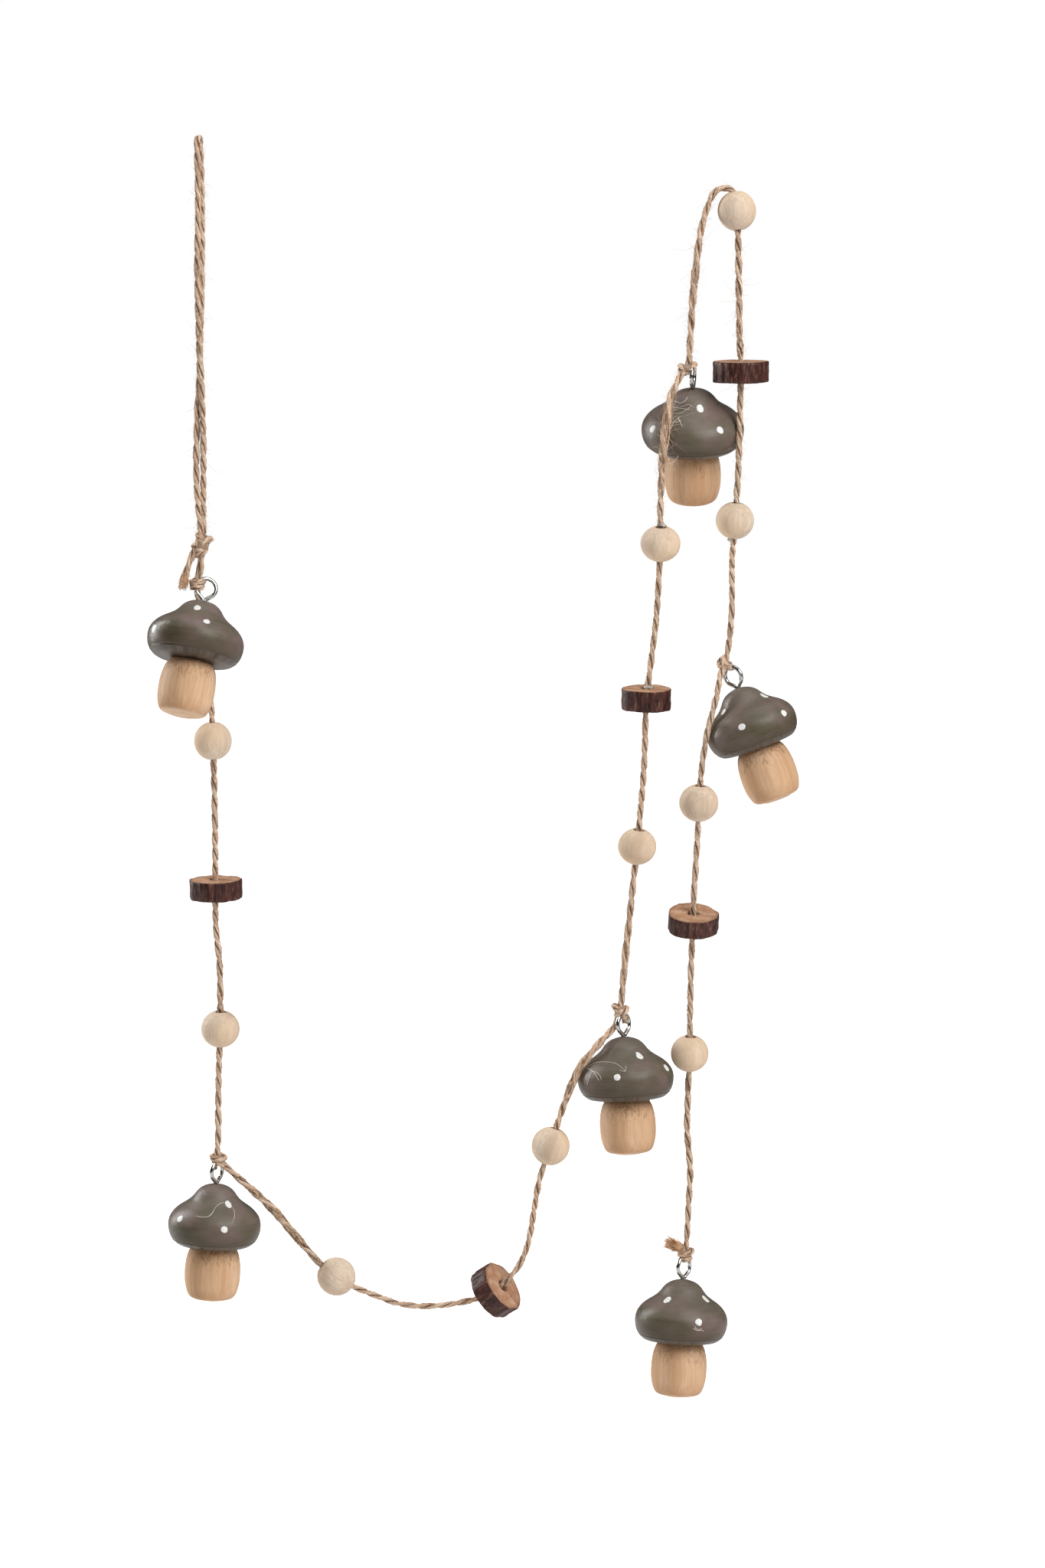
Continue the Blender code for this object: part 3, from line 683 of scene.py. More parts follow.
def plated_steel():
    """Bright plated wire with faint drawing marks."""
    paint = Paint("plated_wire")
    marks = paint.noise((1.6, 1.6, 0.5))
    colour = paint.ramp(marks, [(0.35, (0.46, 0.45, 0.43)), (0.65, (0.6, 0.59, 0.57))])
    roughness = paint.level(marks, 0.3, 0.7, 0.1, 0.2)
    return paint.finish(colour, roughness, paint.bump(marks, 0.12, 0.05), Metallic=1.0)


def clear_glue():
    """Dried clear glue, a little cloudy."""
    paint = Paint("dried_glue")
    cloud = paint.noise((0.9, 0.9, 0.9), 2.0)
    colour = paint.ramp(cloud, [(0.3, (0.86, 0.83, 0.78)), (0.7, (0.95, 0.94, 0.92))])
    roughness = paint.level(cloud, 0.3, 0.7, 0.1, 0.3)
    return paint.finish(colour, roughness, paint.bump(cloud, 0.4, 0.2), Transmission_Weight=0.75, IOR=1.45)


CAP_PAINT = cap_paint()
DOT_PAINT = dot_paint()
STEM_WOOD = turned_wood("stem_grain", (0.52, 0.3, 0.158), (0.66, 0.42, 0.255), (0.74, 0.525, 0.355), 0.75)
BEAD_WOOD = turned_wood("bead_grain", (0.53, 0.39, 0.275), (0.7, 0.56, 0.43), (0.79, 0.66, 0.53), 0.0)
BARK = bark()
CUT_FACE = cut_face()
JUTE = jute()
PALE_FIBRE = loose_jute("jute_fibre_pale", (0.56, 0.39, 0.26), (0.92, 0.76, 0.6))
LOOSE_FIBRE = loose_jute("jute_fibre_loose", (0.4, 0.235, 0.13), (0.86, 0.66, 0.48))
DARK_FIBRE = loose_jute("jute_fibre_dark", (0.19, 0.088, 0.043), (0.42, 0.225, 0.115))
LINT = loose_jute("lint", (0.66, 0.57, 0.47), (0.96, 0.91, 0.83))
RUSTY_FIBRE = loose_jute("jute_fibre_rusty", (0.48, 0.235, 0.105), (0.88, 0.6, 0.37))
STEEL = plated_steel()
GLUE = clear_glue()


# Camera

CAMERA_PLACE = (0.1046, -1.5, -0.0884)
CAMERA_AIM = (0.1046, 0.0, -0.2084)
PICTURE_HEIGHT = 0.512
SENSOR = 36.0


def add_aimed(name, data, place, target):
    """A camera or light at this place that points at the target."""
    made = bpy.data.objects.new(name, data)
    made.location = place
    made.rotation_euler = (Vector(target) - Vector(place)).to_track_quat("-Z", "Y").to_euler()
    bpy.context.scene.collection.objects.link(made)
    return made


def add_camera():
    """Straight on and a little from above, with all of the picture's height at the garland."""
    data = bpy.data.cameras.new("camera")
    data.sensor_width = SENSOR
    data.lens = SENSOR * (Vector(CAMERA_AIM) - Vector(CAMERA_PLACE)).length / PICTURE_HEIGHT
    data.clip_start = 0.05
    data.clip_end = 50.0
    bpy.context.scene.camera = add_aimed("camera", data, CAMERA_PLACE, CAMERA_AIM)


add_camera()


# Twine

STEP = 0.6
PLY_SIDES = 10
# How far a ply is from the middle of the twine, and half its thickness outwards and across
PLY_REACH = 0.47
PLY_OUT = 0.54
PLY_ACROSS = 0.70
PLY_LUMPS = 0.16
SEEN_PITCH = 12.0
PITCH_DRIFT = 0.5
SWELL = 0.10
FIRST_TURN = 0.6

# How far slack opens the plies, makes each thicker, and lengthens the pitch
SLACK_REACH = 0.55
SLACK_OUT = 0.10
SLACK_ACROSS = 0.06
SLACK_PITCH = 1.3

# How far apart the two plies' grains are, and how slowly fibres wind round a ply
PLY_SHIFT = 500.0
FIBRE_SLANT = 6.0

FIBRE_PARTS = 5
KNOT_STEP = 0.45
WRAP_CORNERS = 48
HEART_INSET = 0.9
HEART_ROWS = 8
HEART_SEGMENTS = 18
RANDOM_SEED = 41

Wrap = namedtuple("Wrap", "x z width depth nod roll thickness")
PlyRow = namedtuple("PlyRow", "point tangent normal side turn run swell slack")
Fuzz = namedtuple("Fuzz", "count lengths thickness curl")
Lying = namedtuple("Lying", "count thickness")
Brush = namedtuple("Brush", "count length spread width back")

# Stray fibres, those that lie along a ply, how many have come free of the plies, and the frayed ends
SHORT_HAIRS = Fuzz(3300, (1.2, 4.0), (0.05, 0.10), 1.1)
LONG_HAIRS = Fuzz(220, (4.5, 8.5), (0.05, 0.085), 1.8)
DARK_HAIRS = Fuzz(700, (1.2, 3.2), (0.05, 0.09), 1.1)
KNOT_HAIRS = Fuzz(46, (0.8, 2.6), (0.05, 0.09), 1.1)
TUFT_HAIRS = Fuzz(20, (1.0, 2.6), (0.05, 0.08), 1.1)
PALE_LYING = Lying(2100, (0.10, 0.20))
DARK_LYING = Lying(1500, (0.10, 0.18))
KNOT_PALE_LYING = Lying(26, (0.10, 0.20))
KNOT_DARK_LYING = Lying(22, (0.10, 0.20))
PALE_FREE = 560
DARK_FREE = 260
CUT_BRUSH = Brush(420, 3.2, 0.16, 1.2, 4.2)
TUFT_BRUSH = Brush(560, 3.4, 0.32, 1.35, 5.0)

# Each knot's wraps, as rings round it. x and z are how far their middle is from the knot's.
WRAPS = [
    [
        (0.1, 2.9, 4.6, 4.2, 20, 25, 1.05), (1.0, 1.5, 5.4, 4.6, -10, -35, 1.1),
        (-0.7, -0.2, 5.2, 4.4, 15, 8, 1.1), (-0.2, -1.8, 4.4, 3.8, 10, -28, 1.0),
    ],
    [
        (0.0, 1.1, 4.3, 4.1, 10, -12, 0.66), (0.2, 0.3, 4.9, 4.7, 6, -4, 0.66),
        (0.0, -0.6, 4.7, 4.5, 3, 6, 0.66), (0.0, -1.4, 4.0, 3.8, 8, -3, 0.62),
    ],
    [
        (-0.1, 1.0, 5.2, 4.2, 20, 5, 0.95), (0.6, -0.6, 4.8, 3.9, 10, 40, 0.9),
        (-1.3, -1.4, 3.4, 2.6, 0, 75, 0.8),
    ],
    [
        (-0.6, 1.2, 4.5, 4.0, 15, 20, 1.05), (0.5, 0.0, 4.9, 4.2, 10, -35, 1.1),
        (1.3, -1.4, 4.6, 2.8, 0, 78, 0.95),
    ],
    [
        (-1.5, -0.1, 3.6, 3.4, 25, 50, 1.15), (1.4, 0.4, 3.8, 3.4, 15, -50, 1.15),
        (0.0, -0.3, 5.4, 3.8, 20, -8, 1.0),
    ],
    [
        (-1.1, 0.4, 3.9, 3.4, 10, -64, 1.05), (0.8, -0.6, 3.9, 3.5, 15, 40, 1.05),
        (0.1, -0.7, 4.4, 3.5, 20, -8, 0.85),
    ],
    [
        (0.7, 0.8, 4.0, 3.8, 10, -25, 0.95), (-0.4, -0.5, 4.4, 3.8, 15, 15, 0.95),
        (0.3, -1.5, 3.5, 3.1, 10, -10, 0.85),
    ],
]


def looseness(point):
    """How slack the twine is here, from 0 for taut to about 1."""
    slack = 0.0
    for spot in LOOSE_SPOTS:
        distance = (point - at(spot)).length / MM
        slack = max(slack, spot.swell * math.exp(-((distance / spot.reach) ** 2)))
    return slack


def ply_track(points, slack, thinness=1.0):
    """For each point, its frame, the plies' turn there and how far out and how thick they are."""
    track = []
    turn = FIRST_TURN
    run = 0.0
    for i, (point, (tangent, normal, side)) in enumerate(zip(points, carried_frames(points))):
        if i:
            travelled = (point - points[i - 1]).length / MM
            run += travelled
            uneven = 1 + PITCH_DRIFT * noise.noise(Vector((run * 0.045, 8.3, 0.0)))
            turn -= TURN * travelled / (SEEN_PITCH * uneven * (1 + SLACK_PITCH * slack[i]))
        swell = thinness * (1 + SWELL * noise.noise(Vector((run * 0.22, 3.1, 0.0))))
        track.append(PlyRow(point, tangent, normal, side, turn, run, swell, slack[i]))
    return track


def on_ply(row, ply, angle, lift=0.0):
    """A point on the surface of one ply, and the direction out of the twine there."""
    around = row.turn + math.pi * ply
    out = toward(around, row.normal, row.side)
    across = row.side * math.cos(around) - row.normal * math.sin(around)
    uneven = 1 + PLY_LUMPS * noise.noise(Vector((row.run * 0.35, ply * 9.0, angle * 0.3)))
    reach = (PLY_REACH + SLACK_REACH * row.slack) * row.swell
    thick_out = (PLY_OUT + SLACK_OUT * row.slack) * row.swell * uneven + lift
    thick_across = (PLY_ACROSS + SLACK_ACROSS * row.slack) * row.swell * uneven + lift
    spot = out * (reach + thick_out * math.cos(angle)) + across * (thick_across * math.sin(angle))
    return row.point + spot * MM, toward(angle, out, across).normalized()


def add_jute(name, verts, faces, marks, grooves, replaced=(), matrix=None):
    """Plied twine. marks run along its plies, and grooves are lowest where the plies meet, where they give
    painted shade.
    """
    made = add_mesh(name, verts, faces, [JUTE], replaced, matrix=matrix)
    add_vectors(made, "ply", marks)
    add_vectors(made, "groove_shade", grooves)
    return made


class Plies:
    """The two twisted plies along one or more lines, as one mesh."""

    def __init__(self):
        self.verts = []
        self.faces = []
        self.marks = []
        self.grooves = []

    def add(self, points, slack, thinness=1.0):
        track = ply_track(points, slack, thinness)
        for ply in (0, 1):
            starts = []
            for row in track:
                starts.append(len(self.verts))
                for j in range(PLY_SIDES):
                    angle = TURN * j / PLY_SIDES
                    own = angle + row.run / FIBRE_SLANT
                    self.verts.append(on_ply(row, ply, angle)[0])
                    self.marks.append((row.run + PLY_SHIFT * ply, math.cos(own), math.sin(own)))
                    # Painted shade: lowest on the inner side of each ply, and less where slack opens the
                    # plies.
                    self.grooves.append((math.cos(angle) + 0.6 * row.slack, 0.0, 0.0))
            self.faces += tube_faces(starts, PLY_SIDES)
        return track

    def make(self, name, replaced=()):
        return add_jute(name, self.verts, self.faces, self.marks, self.grooves, replaced)


def scatter(rng, reach):
    return Vector([rng.uniform(-reach, reach) for _ in range(3)])


def bent_line(start, heading, bend, stride):
    """A fibre's line, whose heading bends a little more with each stride."""
    points = [start]
    for _ in range(FIBRE_PARTS):
        heading = (heading + bend / FIBRE_PARTS).normalized()
        points.append(points[-1] + heading * stride * MM)
    return points


def stray(rng, start, out, tangent, length, curl):
    """A loose fibre's line: it leaves slanting along the twine and then bends away."""
    side = tangent.cross(out).normalized()
    along = tangent if rng.random() < 0.5 else -tangent
    heading = along * rng.uniform(0.5, 1.6) + out * rng.uniform(0.25, 1.1) + side * rng.uniform(-0.6, 0.6)
    return bent_line(start, heading.normalized(), scatter(rng, 1) * curl, length / FIBRE_PARTS)


def fuzz(track, rng, kind, threads):
    """Stray fibres all along the track, more where it is slack."""
    weights = [1 + 2.2 * row.slack for row in track]
    for row in rng.choices(track, weights, k=kind.count):
        ply = rng.randrange(2)
        start, out = on_ply(row, ply, rng.uniform(0, TURN), -0.06)
        length = rng.uniform(*kind.lengths) * (1 + 0.8 * row.slack)
        line = stray(rng, start, out, row.tangent, length, kind.curl)
        threads.add(line, rng.uniform(*kind.thickness) * MM)


def surface_fibres(track, rng, kind, threads):
    """Longer fibres that lie along a ply and stand a little proud of it."""
    for _ in range(kind.count):
        first = rng.randrange(0, len(track) - 12)
        length = rng.randrange(9, 30)
        rows = track[first : first + length : 3]
        ply = rng.randrange(2)
        angle = rng.uniform(-1.9, 1.9)
        drift = rng.uniform(-0.16, 0.16)
        points = []
        for i, row in enumerate(rows):
            end_lift = 0.10 * abs(2 * i / (len(rows) - 1) - 1) ** 3
            points.append(on_ply(row, ply, angle + drift * i, 0.02 + end_lift * (1 + row.slack))[0])
        threads.add(points, rng.uniform(*kind.thickness) * MM, 0.6)


def loosened(track, rng, count, threads):
    """Fibres that have come free of the plies where the twine is slack, and run on beside them."""
    weights = [max(0.0, row.slack - 0.1) for row in track]
    for first in rng.choices(range(len(track)), weights, k=count):
        rows = track[max(first - 12, 0) : first + rng.randrange(6, 30) : 2]
        seed = rng.uniform(0, 90)
        around = rng.uniform(0, TURN)
        reach = math.sqrt(rng.random())
        points = []
        for i, row in enumerate(rows):
            wander = noise.noise_vector(Vector((seed, i * 0.25, 0)))
            out = (reach + 0.4 * wander.y) * (0.70 + 0.95 * row.slack)
            points.append(row.point + toward(around + 1.5 * wander.x, row.normal, row.side) * out * MM)
        threads.add(points, rng.uniform(0.12, 0.30) * MM, 0.5)


def wrap_line(knot, wrap, number):
    """The closed line of one wrap round a knot, never quite a flat ring."""
    slant = Euler((math.radians(wrap.nod), math.radians(wrap.roll), 0)).to_matrix()
    middle = at(knot) + Vector((wrap.x, 0, wrap.z)) * MM
    points = []
    for i in range(WRAP_CORNERS + 1):
        angle = TURN * i / WRAP_CORNERS
        spot = Vector((wrap.width / 2 * math.cos(angle), wrap.depth / 2 * math.sin(angle), 0))
        wobble = noise.noise_vector(on_circle(angle, number * 3.7)) * 0.36
        points.append(middle + slant @ (spot + wobble) * MM)
    return points


def add_knot(number, knot, fine, rough, rng):
    """A knot's wraps, and a filling that closes the gaps between them."""
    wraps = Plies()
    for place, wrap in enumerate(table(Wrap, *WRAPS[number - 1])):
        inset = wrap.thickness * TWINE_WIDTH * 0.55
        inner = wrap._replace(width=wrap.width - inset, depth=wrap.depth - inset)
        line = even_points(wrap_line(knot, inner, number * 5 + place), KNOT_STEP * MM)
        track = wraps.add(line, [0.0] * len(line), wrap.thickness * 0.92)
        fuzz(track, rng, KNOT_HAIRS, fine)
        surface_fibres(track, rng, KNOT_PALE_LYING, fine)
        surface_fibres(track, rng, KNOT_DARK_LYING, rough)
    half = knot.height / 2 - HEART_INSET
    wide = knot.width / 2 - HEART_INSET
    rows = [(0, half)]
    for i in range(1, HEART_ROWS):
        angle = math.pi * i / HEART_ROWS
        rows.append((wide * math.sin(angle), half * math.cos(angle)))
    rows.append((0, -half))

    def lumpy(_, angle, radius, height):
        return radius * (1 + 0.2 * noise.noise(on_circle(angle, height) * 1.4)), height

    verts, faces = lathe(rows, HEART_SEGMENTS, lumpy)
    marks = [(v.z / MM * 2, v.x / MM, v.y / MM) for v in verts]
    # The heart, sunk in the gaps between the wraps, gets painted shade all over.
    grooves = [(-0.45, 0.0, 0.0)] * len(verts)
    matrix = Matrix.Translation(at(knot))
    heart = add_jute(f"knot_{number}_heart", verts, faces, marks, grooves, matrix=matrix)
    return [wraps.make(f"knot_{number}_wraps"), heart]


def add_brush(points, rng, brush, threads):
    """A frayed cut end: fibres that flare out of the last stretch of a line."""
    tip = points[-1]
    tangent = (points[-1] - points[-2]).normalized()
    normal = tangent.orthogonal().normalized()
    side = tangent.cross(normal)
    for _ in range(brush.count):
        angle = rng.uniform(0, TURN)
        reach = math.sqrt(rng.random())
        out = toward(angle, normal, side)
        start = tip - tangent * rng.uniform(0.5, brush.back) * MM + out * reach * brush.width * MM
        heading = (tangent + out * reach * brush.spread + scatter(rng, 0.12)).normalized()
        bend = scatter(rng, 0.45)
        stride = rng.uniform(0.6, 1.0) * brush.length / FIBRE_PARTS
        threads.add(bent_line(start, heading, bend, stride), rng.uniform(0.09, 0.17) * MM, 0.5)


def build_twine():
    rng = random.Random(RANDOM_SEED)
    line = even_points(smooth_curve(twine_route(), CURVE_STEPS), STEP * MM)
    plies = Plies()
    track = plies.add(line, [looseness(point) for point in line])
    twine = plies.make("twine_plies", ("twine",))
    with_it = []
    hairs = Threads()
    fuzz(track, rng, SHORT_HAIRS, hairs)
    fuzz(track, rng, LONG_HAIRS, hairs)
    lying = Threads()
    surface_fibres(track, rng, PALE_LYING, lying)
    dark = Threads()
    surface_fibres(track, rng, DARK_LYING, dark)
    fuzz(track, rng, DARK_HAIRS, dark)
    free = Threads(4)
    loosened(track, rng, PALE_FREE, free)
    loosened(track, rng, DARK_FREE, dark)
    knot_hairs = Threads()
    for number, knot in enumerate(KNOTS, 1):
        with_it += add_knot(number, knot, knot_hairs, dark, rng)
    tuft_line = even_points(smooth_curve(TUFT, 12), 0.5 * MM)
    tuft = Plies()
    tuft_track = tuft.add(tuft_line, [0.1] * len(tuft_line), 0.9)
    with_it.append(tuft.make("tuft_plies"))
    fuzz(tuft_track, rng, TUFT_HAIRS, knot_hairs)
    rusty = Threads()
    add_brush(line[:8][::-1], rng, CUT_BRUSH, rusty)
    add_brush(tuft_line, rng, TUFT_BRUSH, rusty)
    for threads, name, material, seed in (
        (hairs, "twine_hairs", PALE_FIBRE, 1),
        (lying, "twine_lying_fibres", PALE_FIBRE, 2),
        (dark, "twine_dark_fibres", DARK_FIBRE, 5),
        (free, "twine_loose_fibres", LOOSE_FIBRE, 7),
        (knot_hairs, "knot_hairs", PALE_FIBRE, 3),
        (rusty, "cut_end_fibres", RUSTY_FIBRE, 4),
    ):
        with_it.append(threads.make(name, material, "jute", seed))
    return line


twine_line = build_twine()


# Mushrooms

# Outlines of a cap and a stem as radius and depth under the cap's top. Both are open where they meet.
CAP_TOP = [(0.60, 1.6), (0.61, 0.4), (0.75, 0.08)]
CAP_SIDE = [
    (1.2, 0.04), (2.3, 0.28), (4.15, 0.9), (5.5, 1.75), (6.5, 2.75), (7.35, 3.9), (8.5, 5.15),
    (10.35, 6.5), (12.5, 7.95), (14.15, 9.6), (15.2, 11.4), (15.6, 13.4), (15.35, 15.9), (14.75, 17.6),
    (14.2, 18.5),
]
CAP_UNDER = [
    (14.12, 18.62), (13.95, 18.76), (13.4, 19.28), (12.8, 19.76), (12.1, 20.1), (11.1, 20.29),
    (9.5, 20.38), (7.2, 20.4), (6.6, 20.4), (4.8, 20.4),
]
STEM_TOP_ROWS = [(4.4, 15.0), (4.4, 20.6), (6.6, 20.6), (6.85, 20.65)]
STEM_SIDE = [
    (6.95, 20.75), (7.55, 21.5), (8.2, 22.8), (8.75, 24.8), (9.1, 27.3), (9.2, 30.0), (9.05, 32.8),
    (8.7, 34.6), (8.3, 35.9), (7.9, 36.8),
]
STEM_FOOT = [(7.5, 37.35), (7.0, 37.75), (6.3, 38.05), (5.3, 38.22), (3.0, 38.34), (0, 38.4)]
WIRE = 1.38
WIRE_SIDES = 16
EYE_RADIUS = 3.25
EYE_CENTRE = 4.1
EYE_OFFSET = 0.1
EYE_START = 212
EYE_STEP = 24.6
EYE_POINTS = 11
EYE_SHANK = [(0, -5.0), (0, -2.0), (-0.05, -0.4), (-0.3, 0.3), (-0.95, 1.0)]
EYE_END = [(1.7, 1.3), (1.0, 0.75), (0.75, 0.5)]
# The radii between which a cap's own girth comes in
GIRTH_FROM = 1.0
GIRTH_FULL = 4.0
CAP_SEGMENTS = 72
STEM_SEGMENTS = 64
DOT_HEIGHT = 0.13
DOT_SINK = 0.05
DOT_SIDES = 24
DOT_RINGS = [0.4, 0.68, 0.86, 0.96, 1.0]
CURL_LIFTS = (0.06, 0.18)
CURL_WIDTH = 0.19
FREE_CURL_WIDTH = 0.13

# White dots: turn round the cap in degrees, with -90 towards the viewer, depth under its top, width, and
# height along the slope. The first of each cap are seen in the photograph, those on its far side are guessed.
DOTS = [
    [
        (-97.8, 4.1, 2.4, 2.7), (-77, 9.1, 2.4, 2.4), (-148.5, 13.5, 3.0, 3.0), (22, 5, 2.3, 2.8),
        (142, 5, 2.2, 2.7), (18, 11, 2.4, 2.3), (88, 11, 2.3, 2.3), (150, 11, 2.4, 2.3),
    ],
    [
        (-56.7, 5.4, 2.3, 3.2), (-74.1, 12.3, 2.4, 2.3), (-139.2, 10.4, 2.5, 2.4), (60, 5, 2.2, 2.8),
        (165, 5, 2.3, 2.9), (15, 11, 2.4, 2.3), (80, 11, 2.3, 2.3), (150, 11, 2.4, 2.3),
    ],
    [
        (-59.5, 5.7, 2.3, 3.5), (-24.4, 10.2, 2.5, 2.7), (-101.3, 11.6, 2.4, 2.3), (55, 5.5, 2.3, 2.9),
        (170, 5.5, 2.2, 2.8), (45, 11, 2.4, 2.3), (110, 11, 2.3, 2.3), (165, 11, 2.4, 2.3),
    ],
    [
        (-75.4, 4.3, 2.4, 2.9), (-57.4, 10, 2.4, 2.6), (-147.5, 10.7, 2.6, 2.6), (35, 5, 2.3, 2.8),
        (150, 5, 2.2, 2.8), (25, 10.5, 2.4, 2.3), (85, 10.5, 2.3, 2.3), (150, 10.5, 2.4, 2.3),
    ],
    [
        (-102.7, 11.4, 2.5, 2.2), (-40.9, 12.2, 2.4, 2.3), (-26.6, 5.1, 2.3, 3.0), (-145, 5.4, 2.0, 2.3),
        (95, 5, 2.3, 2.8), (28, 11.5, 2.4, 2.3), (95, 11.5, 2.3, 2.3), (160, 11.5, 2.4, 2.3),
    ],
    [
        (-123.2, 6, 2.3, 3.2), (-32.4, 5.6, 2.3, 3.4), (-70.1, 11.9, 2.4, 2.4), (60, 6, 2.3, 2.9),
        (150, 6, 2.2, 2.8), (15, 12, 2.4, 2.3), (95, 12, 2.3, 2.3), (165, 12, 2.4, 2.3),
    ],
]

# Fine pale fibres that lie curled on four of the caps, as turn and depth, by mushroom number
CURLS = [
    (2, [(-115, 8.9), (-105, 9), (-96, 8.6), (-91, 7.7), (-86, 6.1), (-74, 5), (-61, 4.8)]),
    (2, [(-52, 6.1), (-54, 7.5), (-59, 9.2), (-65, 10.8)]),
    (3, [(-155, 9.2), (-142, 9.6), (-130, 11), (-125, 12.6)]),
    (3, [(-156, 8.7), (-143, 7.5), (-124, 7.1), (-105, 7.6), (-95, 8.9), (-90, 10.1)]),
    (3, [(-140, 9.9), (-129, 10.3), (-123, 11.4), (-121, 12.5)]),
    (3, [(-98, 9.5), (-93, 9.9), (-90, 9.3), (-90, 8.4)]),
    (3, [(-144, 14.1), (-140, 11.9), (-139, 10.3)]),
    (4, [(-136, 5.9), (-120, 5.8), (-107, 4.7), (-94, 3.4)]),
    (4, [(-146, 4.5), (-126, 4.4), (-112, 3.5), (-101, 3.2), (-90, 4)]),
    (4, [(-147, 2.9), (-123, 3), (-113, 2), (-111, 1.4)]),
    (4, [(-120, 9.9), (-120, 8.2), (-116, 6.8), (-114, 6.3)]),
    (4, [(-117, 6.6), (-111, 7.5), (-105, 8.7)]),
    (4, [(-134, 5.3), (-120, 4.5), (-102, 4.5), (-93, 4.4)]),
    (4, [(-125, 7.8), (-116, 7.8), (-111, 7.1)]),
    (6, [(-75, 13.3), (-73, 14.0), (-69, 14.3), (-66, 13.9)]),
    (6, [(-77, 13.9), (-71, 14.6), (-66, 14.5), (-63, 14.9)]),
]
# The same, hanging free, as places in the garland
FREE_CURLS = [
    places((154.6, -8.4, -99.7), (155, -7.1, -101.3), (153.4, -6, -103.4), (151.4, -8.2, -104.1)),
    places((160.9, -1.2, -331.3), (163.1, -1.8, -332.9), (161.6, -2.4, -337.1), (160.6, -2.0, -339.2)),
]


def mushroom_matrix(mushroom):
    rotation = Euler((math.radians(mushroom.pitch), 0, 0)).to_matrix().to_4x4()
    lean = Matrix.Rotation(math.radians(mushroom.lean), 4, "Y")
    return Matrix.Translation(at(mushroom)) @ lean @ rotation


def cap_rows(outline, mushroom):
    """An outline of the cap at this mushroom's own girth, with heights under its top below zero."""
    rows = []
    for radius, depth in outline:
        share = min(1.0, max(0.0, (radius - GIRTH_FROM) / (GIRTH_FULL - GIRTH_FROM)))
        rows.append((radius * (1 + (mushroom.girth - 1) * share), -depth))
    return rows


def cap_wobble(number, angle, height):
    """How far the turned cap is from truly round here, as a factor."""
    return turned_share(0.006, angle, 1.3, height * 0.12 + number * 7)


class CapFace:
    """The painted side of a cap, on which dots and fibres are placed by turn and distance from its top."""

    def __init__(self, number, mushroom):
        self.number = number
        self.matrix = mushroom_matrix(mushroom)
        self.rows = cap_rows(rounded(CAP_SIDE, 6), mushroom)
        self.runs = [0.0]
        for (r_a, h_a), (r_b, h_b) in zip(self.rows, self.rows[1:]):
            self.runs.append(self.runs[-1] + math.hypot(r_b - r_a, h_b - h_a))

    def run_at(self, depth):
        """The distance along the side at which it is this deep under the top."""
        for i in range(len(self.rows) - 1):
            above = -self.rows[i][1]
            below = -self.rows[i + 1][1]
            if above <= depth <= below:
                return self.runs[i] + (self.runs[i + 1] - self.runs[i]) * (depth - above) / (below - above)
        return self.runs[-1]

    def spot(self, turn, run, lift):
        """The place on the side at this turn and distance, lifted off it, and the radius there."""
        i = 0
        while i < len(self.runs) - 2 and self.runs[i + 1] < run:
            i += 1
        share = (run - self.runs[i]) / (self.runs[i + 1] - self.runs[i])
        r_a, h_a = self.rows[i]
        r_b, h_b = self.rows[i + 1]
        radius = r_a + (r_b - r_a) * share
        height = h_a + (h_b - h_a) * share
        length = math.hypot(r_b - r_a, h_b - h_a)
        out = (h_a - h_b) / length
        up = (r_b - r_a) / length
        across = radius * cap_wobble(self.number, turn, height) + out * lift
        return on_circle(turn, height + up * lift, across), radius


def add_cap(number, mushroom, matrix):
    rows = cap_rows(CAP_TOP + rounded(CAP_SIDE, 6) + CAP_UNDER, mushroom)

    def uneven(_, angle, radius, height):
        return radius * cap_wobble(number, angle, height), height

    verts, faces = lathe(rows, CAP_SEGMENTS, uneven)
    made = add_mesh(
        f"cap_{number}_turned", verts, faces, [CAP_PAINT], [f"cap_{number}"], number,
        matrix=matrix,
    )
    mark_spin(made, number)


def add_dots(number, mushroom, matrix):
    """The cap's white dots: thin drops of paint with an uneven edge."""
    face = CapFace(number, mushroom)
    verts = []
    faces = []
    for spot_number, (degrees, depth, width, tall) in enumerate(DOTS[number - 1]):
        middle = face.run_at(depth)
        centre_turn = math.radians(degrees)
        spot, radius = face.spot(centre_turn, middle, DOT_HEIGHT)
        first = len(verts)
        verts.append(spot * MM)
        for share in DOT_RINGS:
            lift = DOT_HEIGHT * (1 - share**3) - (DOT_SINK if share == 1.0 else 0.0)
            for j in range(DOT_SIDES):
                angle = TURN * j / DOT_SIDES
                uneven = 1 + 0.16 * noise.noise(on_circle(angle, number * 9 + spot_number * 2.3, 1.1))
                reach = share / 2 * uneven
                turn = centre_turn + reach * width * math.cos(angle) / radius
                verts.append(face.spot(turn, middle + reach * tall * math.sin(angle), lift)[0] * MM)
        faces += [(first, first + 1 + j, first + 1 + (j + 1) % DOT_SIDES) for j in range(DOT_SIDES)]
        for ring in range(len(DOT_RINGS) - 1):
            start = first + 1 + ring * DOT_SIDES
            faces += [quad[::-1] for quad in ring_faces(start, start + DOT_SIDES, DOT_SIDES)]
    add_mesh(f"cap_{number}_dots", verts, faces, [DOT_PAINT], seed=number + 60, matrix=matrix)


